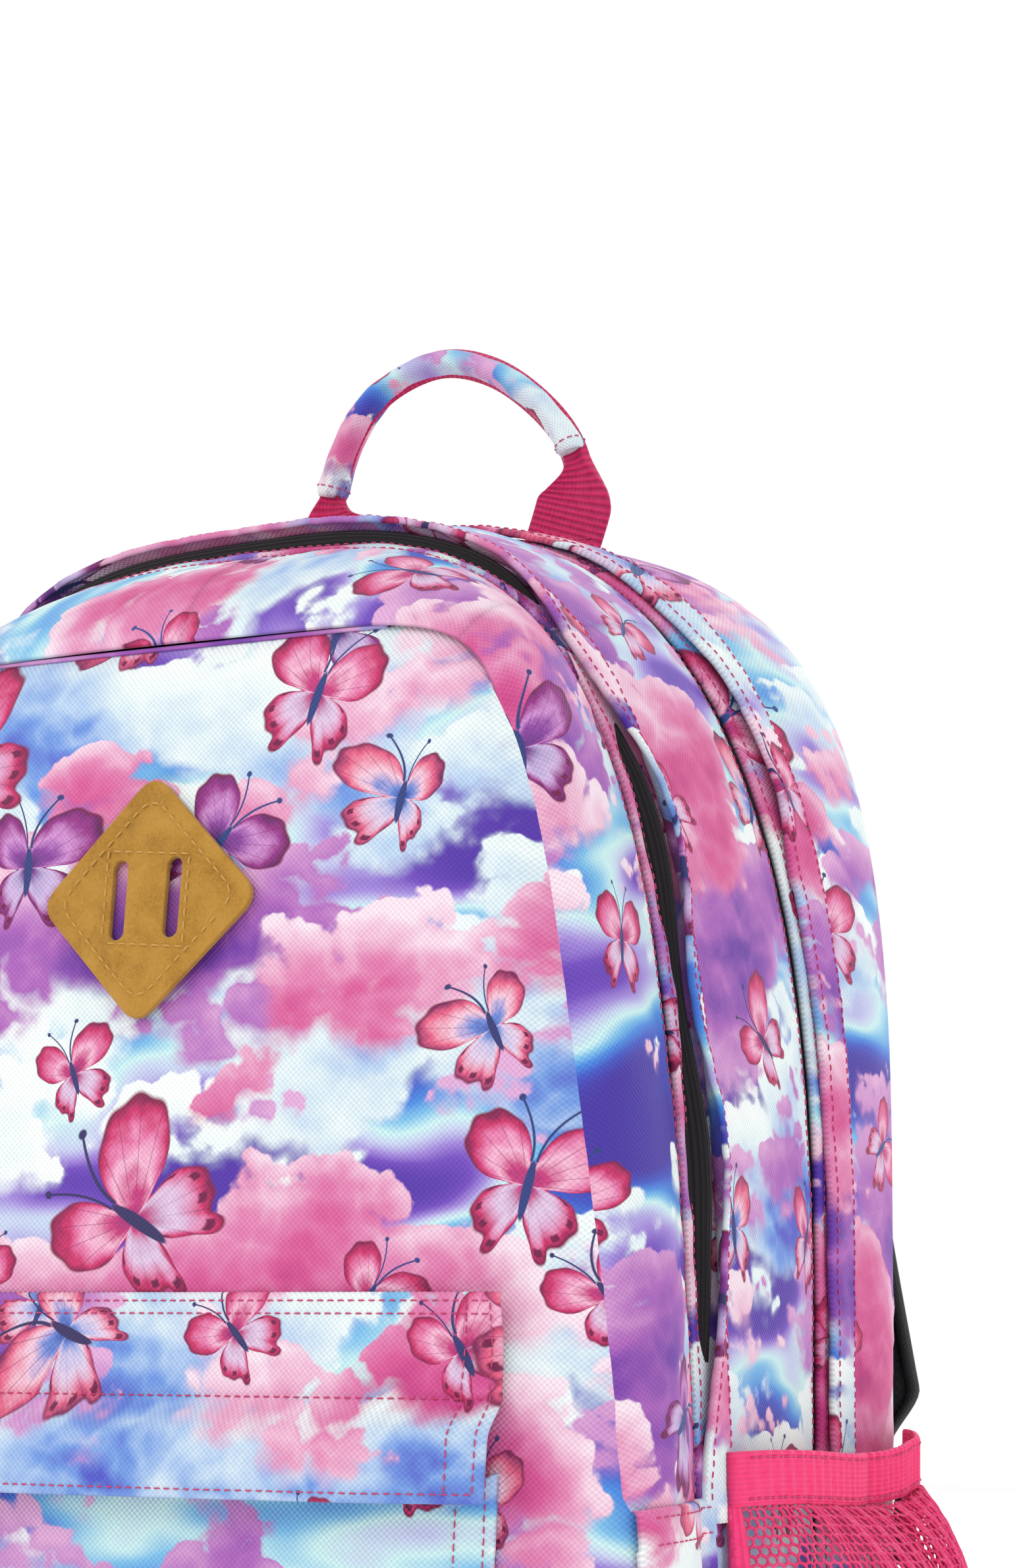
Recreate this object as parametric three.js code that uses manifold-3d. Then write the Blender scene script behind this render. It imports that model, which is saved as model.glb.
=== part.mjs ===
// A school backpack with two zipped compartments, a front pocket, two mesh bottle pockets,
// a haul handle and two padded shoulder straps.
//
// Units are millimetres. +X is the wearer's left when the bag is worn (the viewer's right when
// looking at the front), +Y runs from the front panel to the back panel, +Z is up.
// The origin is on the floor, in the middle of the base panel.
//
// The bag's skin is a loft through four seam loops, front to back. Every gusset, zipper, flap and
// mesh pocket is a patch of that skin, given a thickness along its outward normal.

import * as THREE from "three";
import { mergeVertices } from "three/addons/utils/BufferGeometryUtils.js";
import Module from "manifold-3d";

const wasm = await Module();
wasm.setup();

// ---------------------------------------------------------------- driving dimensions
const MID_HEIGHT = 200; // where each seam loop is widest
const BASE_SQUARE = 8; // how square the bottom corners are (a superellipse's power)

// The seam loops: depth at the floor, backward lean, top height, half width low down and at the
// top, and how square the top corners are.
const LOOPS = {
  frontSeam: { y: -112, lean: 0.1, top: 390, wide: 146, wideTop: 97, square: 8 },
  frontZip: { y: -66, lean: 0.085, top: 418.5, wide: 138.5, wideTop: 112, square: 3.4 },
  mainZip: { y: 34, lean: 0, top: 435, wide: 136.5, wideTop: 136.5, square: 2.7 },
  backSeam: { y: 92, lean: 0, top: 436, wide: 141.5, wideTop: 141.5, square: 3.7 },
};
const TAPER_FROM = 110; // the height above which a loop narrows towards wideTop
const TAPER_POWER = 1.2;
const STRIP_BULGE = [5, 5, 4]; // how far each gusset strip bellies out between its seams

const CLOTH = 1.4; // one layer of lined polyester
const GAP = 0.4; // between pieces that touch
const FRONT_CROWN = 9; // the stuffed front panel's belly
const BACK_CROWN = 6;

const GUSSET_BASE = 3; // height of the gussets' lower ends, just above the base panel
const ZIP_END = 168; // height of the zippers' ends, measured on the front seam
const MESH_LOW = 15; // heights of the mesh pockets' lower seams and mouths
const MESH_TOP = 177;
const BAND_TALL = 13; // the elastic round each mouth
const ZIP_HALF_GAP = 2.5; // half the opening between the two hems of a zipper

const MOUTH_HALF = { front: 72, main: 78 }; // half widths of the parts of the top that open
const POCKET = { halfWidth: 107, low: 26, flapLow: 167, zip: 179, stitch: 192, top: 218, belly: 8 };

// ---------------------------------------------------------------- the bag's skin
class SeamLoop extends THREE.Curve {
  constructor(spec) {
    super();
    Object.assign(this, spec);
    this.arcLengthDivisions = 1600;
  }
  // The half width at height z before the corners are rounded.
  flank(z) {
    const t = Math.max(0, (z - TAPER_FROM) / (this.top - TAPER_FROM));
    return this.wide - (this.wide - this.wideTop) * t ** TAPER_POWER;
  }
  halfWidth(z) {
    const upper = z >= MID_HEIGHT;
    const v = upper ? (z - MID_HEIGHT) / (this.top - MID_HEIGHT) : (MID_HEIGHT - z) / MID_HEIGHT;
    const p = upper ? this.square : BASE_SQUARE;
    return this.flank(z) * Math.max(0, 1 - Math.min(1, v) ** p) ** (1 / p);
  }
  depth(z) {
    return this.y + this.lean * z;
  }
  getPoint(t, target = new THREE.Vector3()) {
    const a = -Math.PI / 2 + 2 * Math.PI * t;
    const s = Math.sin(a), c = Math.cos(a);
    const p = s >= 0 ? this.square : BASE_SQUARE;
    const half = s >= 0 ? this.top - MID_HEIGHT : MID_HEIGHT;
    const z = MID_HEIGHT + Math.sign(s) * half * Math.abs(s) ** (2 / p);
    const x = Math.sign(c) * this.flank(z) * Math.abs(c) ** (2 / p);
    return target.set(x, this.depth(z), z);
  }
  // The point at a share w of the way round: 0 is the middle of the base, 0.25 the widest place on
  // the +X side, 0.5 the middle of the top and 0.75 the widest place on the -X side.
  place(w) {
    this.widest ??= this.getLengths()[this.arcLengthDivisions / 4] / this.getLength();
    const fold = w <= 0.5 ? w : 1 - w;
    const share = fold < 0.25 ? 4 * fold * this.widest : this.widest + (4 * fold - 1) * (0.5 - this.widest);
    const p = this.getPointAt(share);
    return w <= 0.5 ? p : p.setX(-p.x);
  }
}
const loops = Object.values(LOOPS).map((spec) => new SeamLoop(spec));
const [frontSeam, frontZip, mainZip, backSeam] = loops;

// The skin at share u round the loops and at station d, from 0 at the front seam to 3 at the back
// seam.
function bareSkin(u, d) {
  const k = Math.min(2, Math.floor(d));
  const f = d - k;
  return loops[k].place(u).lerp(loops[k + 1].place(u), f);
}
function skinNormal(u, d) {
  const h = 1e-3;
  const side = Math.min(2.999, Math.max(0.001, d));
  const along = bareSkin(Math.min(1, u + h), side).sub(bareSkin(Math.max(0, u - h), side));
  const across = bareSkin(u, Math.min(3, side + h)).sub(bareSkin(u, Math.max(0, side - h)));
  return across.cross(along).normalize();
}
// Each strip bellies out in facets that crease at these shares of its width, so that layers at
// different offsets stay parallel.
const CREASES = [0, 0.2, 0.5, 0.8, 1];
const BELLY = [0, 0.64, 1, 0.64, 0];
function belly(d) {
  const k = Math.min(2, Math.floor(d));
  const f = d - k;
  const n = CREASES.findLastIndex((c) => c <= f + 1e-9 && c < 1);
  const g = (f - CREASES[n]) / (CREASES[n + 1] - CREASES[n]);
  return STRIP_BULGE[k] * (BELLY[n] * (1 - g) + BELLY[n + 1] * g);
}
// The belly fades out round the bottom corners, where the bag sits on its base.
function skin(u, d, offset) {
  const normal = skinNormal(u, d);
  const upright = THREE.MathUtils.smoothstep(Math.min(u, 1 - u), U_BASE, U_BASE + 0.06);
  return bareSkin(u, d).addScaledVector(normal, belly(d) * upright + offset);
}

// The share of the way round a loop at a height on the +X side.
function shareAtHeight(loop, z) {
  let low = 0.02, high = 0.48;
  for (let n = 0; n < 30; n++) {
    const middle = (low + high) / 2;
    if (loop.place(middle).z < z) low = middle;
    else high = middle;
  }
  return low;
}
const U_BASE = shareAtHeight(mainZip, GUSSET_BASE);
const U_ZIP_END = shareAtHeight(frontSeam, ZIP_END);
const U_MESH_TOP = shareAtHeight(mainZip, MESH_TOP);
const U_MESH_LOW = shareAtHeight(mainZip, MESH_LOW);
const U_BAND = shareAtHeight(mainZip, MESH_TOP) - shareAtHeight(mainZip, MESH_TOP - BAND_TALL);

// The lines that every layer of the skin is creased along: close together round the corners.
const quarter = [
  ...spread(0.07, 0.15, 7), ...spread(0.15, 0.33, 5), ...spread(0.33, 0.48, 10), 0.48,
];
const U_LINES = [...quarter, 0.5, ...quarter.map((u) => 1 - u).reverse()];
const D_LINES = [0, 1, 2].flatMap((k) => CREASES.slice(0, -1).map((c) => k + c)).concat(3);

function spread(from, to, count) {
  return Array.from({ length: count }, (_, n) => from + ((to - from) * n) / count);
}
// The lines between two ends, with the ends themselves.
function linesBetween(lines, from, to) {
  const margin = 0.0015;
  const inside = lines.filter((v) => v > Math.min(from, to) + margin && v < Math.max(from, to) - margin);
  return from < to ? [from, ...inside, to] : [from, ...inside.reverse(), to];
}

// ---------------------------------------------------------------- solids from grids of points
// A closed solid between two grids of points, both [row][column]. The grids' rims are joined.
function slab(inner, outer) {
  const rows = inner.length, cols = inner[0].length;
  const position = [...inner.flat(), ...outer.flat()].flatMap((p) => [p.x, p.y, p.z]);
  const at = (layer, i, j) => layer * rows * cols + i * cols + j;
  const index = [];
  const quad = (a, b, c, d) => index.push(a, b, c, a, c, d);
  for (let i = 0; i < rows - 1; i++)
    for (let j = 0; j < cols - 1; j++) {
      quad(at(1, i, j), at(1, i, j + 1), at(1, i + 1, j + 1), at(1, i + 1, j));
      quad(at(0, i, j), at(0, i + 1, j), at(0, i + 1, j + 1), at(0, i, j + 1));
    }
  for (let i = 0; i < rows - 1; i++) {
    quad(at(0, i, 0), at(1, i, 0), at(1, i + 1, 0), at(0, i + 1, 0));
    quad(at(0, i + 1, cols - 1), at(1, i + 1, cols - 1), at(1, i, cols - 1), at(0, i, cols - 1));
  }
  for (let j = 0; j < cols - 1; j++) {
    quad(at(0, 0, j + 1), at(1, 0, j + 1), at(1, 0, j), at(0, 0, j));
    quad(at(0, rows - 1, j), at(1, rows - 1, j), at(1, rows - 1, j + 1), at(0, rows - 1, j + 1));
  }
  return facingOut(position, index);
}

// Builds the geometry, with its triangles turned round if they face inwards.
function facingOut(position, index) {
  const corner = (n) => new THREE.Vector3().fromArray(position, 3 * n);
  let volume = 0;
  for (let n = 0; n < index.length; n += 3)
    volume += corner(index[n]).dot(corner(index[n + 1]).cross(corner(index[n + 2])));
  if (volume < 0)
    for (let n = 0; n < index.length; n += 3) [index[n], index[n + 1]] = [index[n + 1], index[n]];
  const geometry = new THREE.BufferGeometry();
  geometry.setAttribute("position", new THREE.Float32BufferAttribute(position, 3));
  geometry.setIndex(index);
  return geometry;
}

const valueAt = (rule, u, f) => (typeof rule === "function" ? rule(u, f) : rule);

// A patch of the skin: u from u0 to u1, d from d0 to d1, between two offsets from the skin.
// An offset is a number or a function of (share along the patch, share across it).
function patch([u0, u1], [d0, d1], low, high, fineness = 1) {
  const refine = (lines) =>
    lines.flatMap((v, n) => (n ? spread(lines[n - 1], v, fineness) : [])).concat(lines.at(-1));
  const us = refine(linesBetween(U_LINES, u0, u1));
  const ds = refine(linesBetween(D_LINES, d0, d1));
  const grid = (rule) =>
    us.map((u) => ds.map((d) => skin(u, d, valueAt(rule, (u - u0) / (u1 - u0), (d - d0) / (d1 - d0)))));
  return slab(grid(low), grid(high));
}

// A panel filling a seam loop, inset from it, between two depth rules y(x, z).
function panel(loop, inset, near, far, rings = 4, steps = 44) {
  const centre = new THREE.Vector2(0, MID_HEIGHT);
  const rim = Array.from({ length: steps }, (_, n) => {
    const p = loop.place(n / steps);
    const out = new THREE.Vector2(p.x, p.z).sub(centre);
    return out.setLength(out.length() - inset).add(centre);
  });
  const position = [], index = [];
  const place = (p, rule) => position.push(p.x, rule(p.x, p.y), p.y);
  for (const rule of [near, far]) {
    place(centre, rule);
    for (let r = 1; r <= rings; r++)
      for (const p of rim) place(centre.clone().lerp(p, Math.sin((r / rings) * (Math.PI / 2))), rule);
  }
  const at = (side, r, n) => side * (1 + rings * steps) + (r ? 1 + (r - 1) * steps + (n % steps) : 0);
  for (let n = 0; n < steps; n++) {
    index.push(at(0, 0, 0), at(0, 1, n), at(0, 1, n + 1), at(1, 0, 0), at(1, 1, n + 1), at(1, 1, n));
    for (let r = 1; r < rings; r++) {
      index.push(at(0, r, n), at(0, r + 1, n), at(0, r + 1, n + 1));
      index.push(at(0, r, n), at(0, r + 1, n + 1), at(0, r, n + 1));
      index.push(at(1, r, n), at(1, r + 1, n + 1), at(1, r + 1, n));
      index.push(at(1, r, n), at(1, r, n + 1), at(1, r + 1, n + 1));
    }
    index.push(at(0, rings, n), at(1, rings, n), at(1, rings, n + 1));
    index.push(at(0, rings, n), at(1, rings, n + 1), at(0, rings, n + 1));
  }
  return facingOut(position, index);
}

// A strap that follows a curve: its flat side faces `facing`, and its width and its two faces'
// heights may change along the curve.
function ribbon(curve, steps, width, low, high, facing = new THREE.Vector3(0, 1, 0)) {
  const grid = (rule) =>
    Array.from({ length: steps + 1 }, (_, i) => {
      const s = i / steps;
      const p = curve.getPointAt(s);
      const across = curve.getTangentAt(s).cross(facing).normalize();
      const up = across.clone().cross(curve.getTangentAt(s)).normalize();
      return [-0.5, 0.5].map((side) =>
        p.clone().addScaledVector(across, side * valueAt(width, s)).addScaledVector(up, valueAt(rule, s)),
      );
    });
  return slab(grid(low), grid(high));
}

// ---------------------------------------------------------------- joins and cuts
function solidOf(geometry) {
  const bare = geometry.index ? geometry.toNonIndexed() : geometry.clone();
  bare.deleteAttribute("normal");
  bare.deleteAttribute("uv");
  const merged = mergeVertices(bare, 1e-4);
  return new wasm.Manifold(
    new wasm.Mesh({
      numProp: 3,
      vertProperties: merged.attributes.position.array,
      triVerts: new Uint32Array(merged.index.array),
    }),
  );
}
function geometryOf(solid) {
  const mesh = solid.getMesh();
  const geometry = new THREE.BufferGeometry();
  geometry.setAttribute("position", new THREE.BufferAttribute(mesh.vertProperties, 3));
  geometry.setIndex(new THREE.BufferAttribute(mesh.triVerts, 1));
  return geometry;
}
const cut = (a, b) => geometryOf(solidOf(a).subtract(solidOf(b)));
const keep = (a, b) => geometryOf(solidOf(a).intersect(solidOf(b)));
const join = (a, b) => geometryOf(solidOf(a).add(solidOf(b)));

// A block between two corners.
function block(low, high) {
  const size = high.map((h, k) => h - low[k]);
  const middle = high.map((h, k) => (h + low[k]) / 2);
  return new THREE.BoxGeometry(...size).translate(...middle);
}

// ---------------------------------------------------------------- materials
const finish = (color, roughness, metalness = 0) =>
  new THREE.MeshStandardMaterial({ color, roughness, metalness });
const MATERIALS = {
  print: finish(0xd9a5d0, 0.75),
  lining: finish(0x1a1a1e, 0.85),
  black: finish(0x101013, 0.8),
  foam: finish(0x3a3a3e, 0.95),
  pink: finish(0xe02a6c, 0.7),
  suede: finish(0xad7f2d, 0.9),
  board: finish(0x2a2a2c, 0.6),
  plastic: finish(0x141416, 0.45),
  metal: finish(0x4a4a4e, 0.35, 0.9),
};

const bag = new THREE.Group();
function add(name, geometry, material, parent = bag) {
  const mesh = new THREE.Mesh(geometry, MATERIALS[material]);
  mesh.name = name;
  parent.add(mesh);
  return mesh;
}

// ---------------------------------------------------------------- flat walls
// How far the stuffed front panel stands forward of its seam's plane.
function crown(loop, x, z) {
  const across = x / Math.max(1, loop.halfWidth(z));
  const up = z > MID_HEIGHT ? (z - MID_HEIGHT) / (loop.top - MID_HEIGHT) : (MID_HEIGHT - z) / MID_HEIGHT;
  return Math.max(0, 1 - across ** 4) * Math.max(0, 1 - up ** 2);
}
const frontFace = (x, z) => frontSeam.depth(z) - CLOTH - GAP - FRONT_CROWN * crown(frontSeam, x, z);
const backFace = (x, z) => backSeam.y + 3 + BACK_CROWN * crown(backSeam, x, z);

function buildWalls() {
  const frontInner = (x, z) => frontFace(x, z) + CLOTH;
  add("front_panel", panel(frontSeam, 0.5, frontFace, frontInner), "print");

  const divider = (x, z) => frontZip.depth(z) + 3;
  add("divider_panel", panel(frontZip, 3.4, divider, (x, z) => divider(x, z) + CLOTH, 2, 36), "lining");

  const lining = backSeam.y - 5;
  add("back_lining", panel(backSeam, 3.4, () => lining, () => lining + CLOTH, 2, 36), "lining");
  const foamInner = () => lining + CLOTH + GAP;
  const foamOuter = (x, z) => backFace(x, z) - GAP;
  add("back_foam", panel(backSeam, 12, foamInner, foamOuter, 4, 36), "foam");
  add("back_panel", panel(backSeam, 4, backFace, (x, z) => backFace(x, z) + CLOTH), "black");

  const baseFront = frontSeam.y + 1;
  const baseBack = backSeam.y - 0.6;
  add("base_panel", block([-103, baseFront, 0], [103, baseBack, 2]), "print");
  add("base_board", block([-100, frontZip.y + 8, 2 + GAP], [100, lining - 3, 4.6]), "board");
}

// ---------------------------------------------------------------- gussets, zippers and storm flaps
// The share of a strip, between stations k and k + 1, that a length in millimetres covers.
const STRIP_LENGTH = [54, 93, 58];
const share = (k, mm) => mm / STRIP_LENGTH[k];
const D = {
  frontGusset: [share(0, 2), 1 - share(0, ZIP_HALF_GAP)],
  mainGusset: [1 + share(1, ZIP_HALF_GAP), 2 - share(1, ZIP_HALF_GAP)],
  rearGusset: [2 + share(2, ZIP_HALF_GAP), 3 - share(2, 1)],
};
const STORM_FLAP = 18; // width of the flap beside each zipper
const MOUTH_FRONT_EDGE = 1.25; // station where the main mouth folds

function buildGussets() {
  const upper = [U_ZIP_END, 1 - U_ZIP_END];
  const whole = [U_BASE, 1 - U_BASE];

  // The front compartment's zip gusset, with the part over the top that opens.
  const frontStrip = patch(upper, D.frontGusset, 0, CLOTH);
  const frontWindow = (grow) =>
    block([-MOUTH_HALF.front - grow, -95, 372], [MOUTH_HALF.front + grow, 5, 470]);
  add("front_mouth", keep(frontStrip, frontWindow(0)), "print");
  for (const [side, from] of [["right", U_ZIP_END], ["left", 0.5]]) {
    const half = patch([from, from + 0.5 - U_ZIP_END], D.frontGusset, 0, CLOTH);
    add(`front_zip_gusset_${side}`, cut(half, frontWindow(GAP)), "print");
  }

  // Below the zipper's ends a plain gusset, hemmed over the zip gusset, runs under the base.
  const tabBack = 1 + share(1, 9);
  for (const [side, from] of [["right", U_BASE], ["left", 1 - U_ZIP_END + 0.002]]) {
    const reach = [from, from + U_ZIP_END - 0.002 - U_BASE];
    const tab = patch(reach, [D.frontGusset[0], tabBack], 0, CLOTH);
    add(`front_lower_gusset_${side}`, tab, "print");
  }

  // The main gusset, from the front zipper to the main zipper, and the part of it that opens.
  const mainStrip = patch(whole, D.mainGusset, 0, CLOTH);
  const mainWindow = (grow) => {
    const fold = bareSkin(0.5, MOUTH_FRONT_EDGE).y;
    return block([-MOUTH_HALF.main - grow, fold - grow, 380], [MOUTH_HALF.main + grow, 60, 470]);
  };
  const aside = (u) => patch([u, u + U_ZIP_END - U_BASE + 0.008], [0.9, tabBack + share(1, GAP)], -8, 8);
  const trimmed = cut(cut(mainStrip, aside(U_BASE - 0.008)), aside(1 - U_ZIP_END));
  add("main_gusset", cut(trimmed, mainWindow(GAP)), "print");
  add("main_mouth", keep(mainStrip, mainWindow(0)), "print");
  add("rear_gusset", patch(whole, D.rearGusset, 0, CLOTH), "print");

  // Each zipper is a tape sewn under both hems with a coil down its middle.
  const zippers = [
    ["front_zipper", 1, 0, 1, U_ZIP_END + 0.002],
    ["main_zipper", 2, 1, 2, U_ZIP_END + 0.002],
  ];
  for (const [name, d, before, after, u] of zippers) {
    const reach = [u, 1 - u];
    const tape = patch(reach, [d - share(before, 9), d + share(after, 9)], -1.6, -GAP);
    add(`${name}_tape`, tape, "black");
    const coil = patch(reach, [d - share(before, 1.3), d + share(after, 1.3)], 0, 1.5);
    add(`${name}_coil`, coil, "plastic");
  }

  // A storm flap lies on the strip behind each zipper.
  const flapLow = CLOTH + GAP;
  const flapHigh = flapLow + 1.6;
  const flaps = [
    ["front_storm_flap", 1, U_MESH_TOP + 0.003],
    ["main_storm_flap", 2, U_MESH_TOP + 0.003],
  ];
  for (const [name, k, u] of flaps) {
    const from = k + share(k, ZIP_HALF_GAP + 1.6);
    const to = k + share(k, STORM_FLAP);
    add(name, patch([u, 1 - u], [from, to], flapLow, flapHigh), "print");
  }
}

// ---------------------------------------------------------------- front pocket and lash tab
// How far the pocket's cloth stands off the front panel.
function pocketBelly(x, z) {
  const across = 1 - Math.abs(x / POCKET.halfWidth) ** 8;
  const up = 1 - Math.abs((2 * z - POCKET.top - POCKET.low) / (POCKET.top - POCKET.low)) ** 4;
  return GAP + POCKET.belly * Math.max(0, across) * Math.max(0, up);
}
// A sheet on the front panel between two heights, and between two offsets from the pocket's cloth.
function pocketSheet(zLow, zHigh, low, high, halfWidth = POCKET.halfWidth, rows = 4, cols = 14) {
  const grid = (rule) =>
    Array.from({ length: rows + 1 }, (_, i) =>
      Array.from({ length: cols + 1 }, (_, j) => {
        const z = zLow + ((zHigh - zLow) * i) / rows;
        const x = halfWidth * Math.sin(((j / cols) * 2 - 1) * (Math.PI / 2));
        return new THREE.Vector3(x, frontFace(x, z) - pocketBelly(x, z) - valueAt(rule, i / rows), z);
      }),
    );
  return slab(grid(low), grid(high));
}
const pocketFace = (x, z) => frontFace(x, z) - pocketBelly(x, z);

function buildPocket() {
  const zipGap = 5;
  const { low, zip, stitch, top, flapLow } = POCKET;
  add("pocket_panel", pocketSheet(low, zip - zipGap, 0, CLOTH, undefined, 7), "print");
  add("pocket_hood", pocketSheet(zip + zipGap, top, 0, CLOTH, undefined, 4), "print");
  const tape = pocketSheet(zip - zipGap - 3, zip + zipGap + 3, -2.8, -1.9, POCKET.halfWidth - 12, 3);
  add("pocket_zipper_tape", tape, "black");
  const coil = pocketSheet(zip - 1.3, zip + 1.3, -1.5, -0.2, POCKET.halfWidth - 14, 1);
  add("pocket_zipper_coil", coil, "plastic");
  // The flap hangs from its stitch line, clear of the slider beneath it.
  const stand = (extra) => (s) => CLOTH + GAP + 7.5 * Math.min(1, (1 - s) * 4) + extra;
  add("pocket_flap", pocketSheet(flapLow, stitch, stand(0), stand(1.6), undefined, 8), "print");
}

// The diamond-shaped lash tab, with two slots for a cord.
function buildLashTab() {
  const half = { x: 32.5, z: 33.5 }, round = 6, slot = { x: 8.1, halfWidth: 2.5, halfLength: 8.5 };
  const shape = new THREE.Shape();
  const corners = [[half.x, 0], [0, half.z], [-half.x, 0], [0, -half.z]];
  corners.forEach(([x, z], n) => {
    const towards = ([a, b]) => new THREE.Vector2(a - x, b - z).setLength(round);
    const back = towards(corners[(n + 3) % 4]), ahead = towards(corners[(n + 1) % 4]);
    n ? shape.lineTo(x + back.x, z + back.y) : shape.moveTo(x + back.x, z + back.y);
    shape.quadraticCurveTo(x, z, x + ahead.x, z + ahead.y);
  });
  for (const side of [-1, 1]) {
    const hole = new THREE.Path();
    hole.absarc(side * slot.x, slot.halfLength, slot.halfWidth, 0, Math.PI, false);
    hole.absarc(side * slot.x, -slot.halfLength, slot.halfWidth, Math.PI, 2 * Math.PI, false);
    hole.closePath();
    shape.holes.push(hole);
  }
  const z = 320, thickness = 2;
  const tab = new THREE.ExtrudeGeometry(shape, { depth: thickness, bevelEnabled: false, curveSegments: 5 });
  tab.rotateX(Math.PI / 2); // the diamond stands up, its face towards -Y
  const slope = (frontFace(0, z + 25) - frontFace(0, z - 25)) / 50;
  const mesh = add("lash_tab", tab, "suede");
  mesh.rotation.x = -Math.atan(slope);
  mesh.position.set(0, frontFace(0, z) - 0.9, z);
}

// ---------------------------------------------------------------- mesh bottle pockets
const MESH_D = [1.14, 2.93];
const SEWN_ON = 2 * CLOTH + GAP; // the height of a seam that lies on a gusset

function buildMeshPockets() {
  // How far the mesh stands off the bag: s runs from the base to the mouth, f from front to back.
  const across = (f) => Math.max(0, Math.sin(Math.PI * f)) ** 0.7;
  const sag = (s) => Math.max(0, Math.sin(Math.PI * s ** 1.6)) ** 0.8;
  const cloth = (s, f) => SEWN_ON + (12 + 27 * sag(s)) * across(f) * Math.min(1, s * 6);
  const band = (s, f) => SEWN_ON + 12 * across(f);
  for (const side of ["right", "left"]) {
    const u = (share) => (side === "right" ? share : 1 - share);
    const below = [u(U_MESH_LOW), u(U_MESH_TOP - U_BAND)];
    add(`mesh_pocket_${side}`, patch(below, MESH_D, cloth, (s, f) => cloth(s, f) + 1.2, 2), "pink");
    const mouth = [u(U_MESH_TOP - U_BAND + 0.0004), u(U_MESH_TOP)];
    add(`pocket_elastic_${side}`, patch(mouth, MESH_D, band, (s, f) => band(s, f) + 2.2, 2), "pink");
  }
}

// ---------------------------------------------------------------- back piping and haul handle
class AlongSkin extends THREE.Curve {
  constructor(u0, u1, y, out) {
    super();
    Object.assign(this, { u0, u1, y, out });
  }
  getPoint(t, target = new THREE.Vector3()) {
    const u = this.u0 + (this.u1 - this.u0) * t;
    target.copy(backSeam.place(u)).addScaledVector(skinNormal(u, 2.99), this.out);
    return target.setY(this.y);
  }
}
const points2 = (pairs) => pairs.map(([x, y]) => new THREE.Vector2(x, y));
function polygon(sides, rx, ry = rx) {
  return Array.from({ length: sides }, (_, n) => {
    const a = (2 * Math.PI * n) / sides;
    return new THREE.Vector2(rx * Math.cos(a), ry * Math.sin(a));
  });
}
function buildPiping() {
  const cord = new AlongSkin(U_BASE, 1 - U_BASE, 94.8, 0);
  const section = new THREE.Shape(polygon(6, 1.9));
  const tube = new THREE.ExtrudeGeometry(section, { steps: 56, extrudePath: cord });
  add("back_piping", tube, "black");
}

const HANDLE = { y: 95, base: 442.5, coverFrom: 0.16, coverTo: 0.82 };
function buildHandle() {
  const { y, base, coverFrom, coverTo } = HANDLE;
  const arch = new THREE.CatmullRomCurve3(
    [
      [-34, 0], [-41, 13], [-42, 25], [-34.5, 45], [-22.5, 57], [-4, 62.5],
      [14, 57.5], [30, 45], [40, 31], [41.5, 18], [36, 0],
    ].map(([x, z]) => new THREE.Vector3(x, y, base + z)),
  );
  arch.arcLengthDivisions = 400;
  const folded = 5.6; // the webbing's width where it is folded inside its cover
  const fold = (s) => THREE.MathUtils.smoothstep(Math.min(s, 1 - s), 0.06, coverFrom - 0.01);
  const width = (s) => THREE.MathUtils.lerp(25, folded, fold(s));
  const thick = (s) => THREE.MathUtils.lerp(0.9, 2.2, fold(s));
  const back = new THREE.Vector3(0, 1, 0);
  const webbing = ribbon(arch, 36, width, (s) => -thick(s), thick, back);
  add("handle_webbing", webbing, "pink");
  const part = new THREE.CatmullRomCurve3(
    Array.from({ length: 17 }, (_, n) => arch.getPointAt(coverFrom + ((coverTo - coverFrom) * n) / 16)),
  );
  const ring = new THREE.Shape(polygon(10, 6, 4.6));
  ring.holes.push(new THREE.Path(polygon(10, 4.8, 3.6).reverse()));
  add("handle_cover", new THREE.ExtrudeGeometry(ring, { steps: 20, extrudePath: part }), "print");
}

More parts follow.
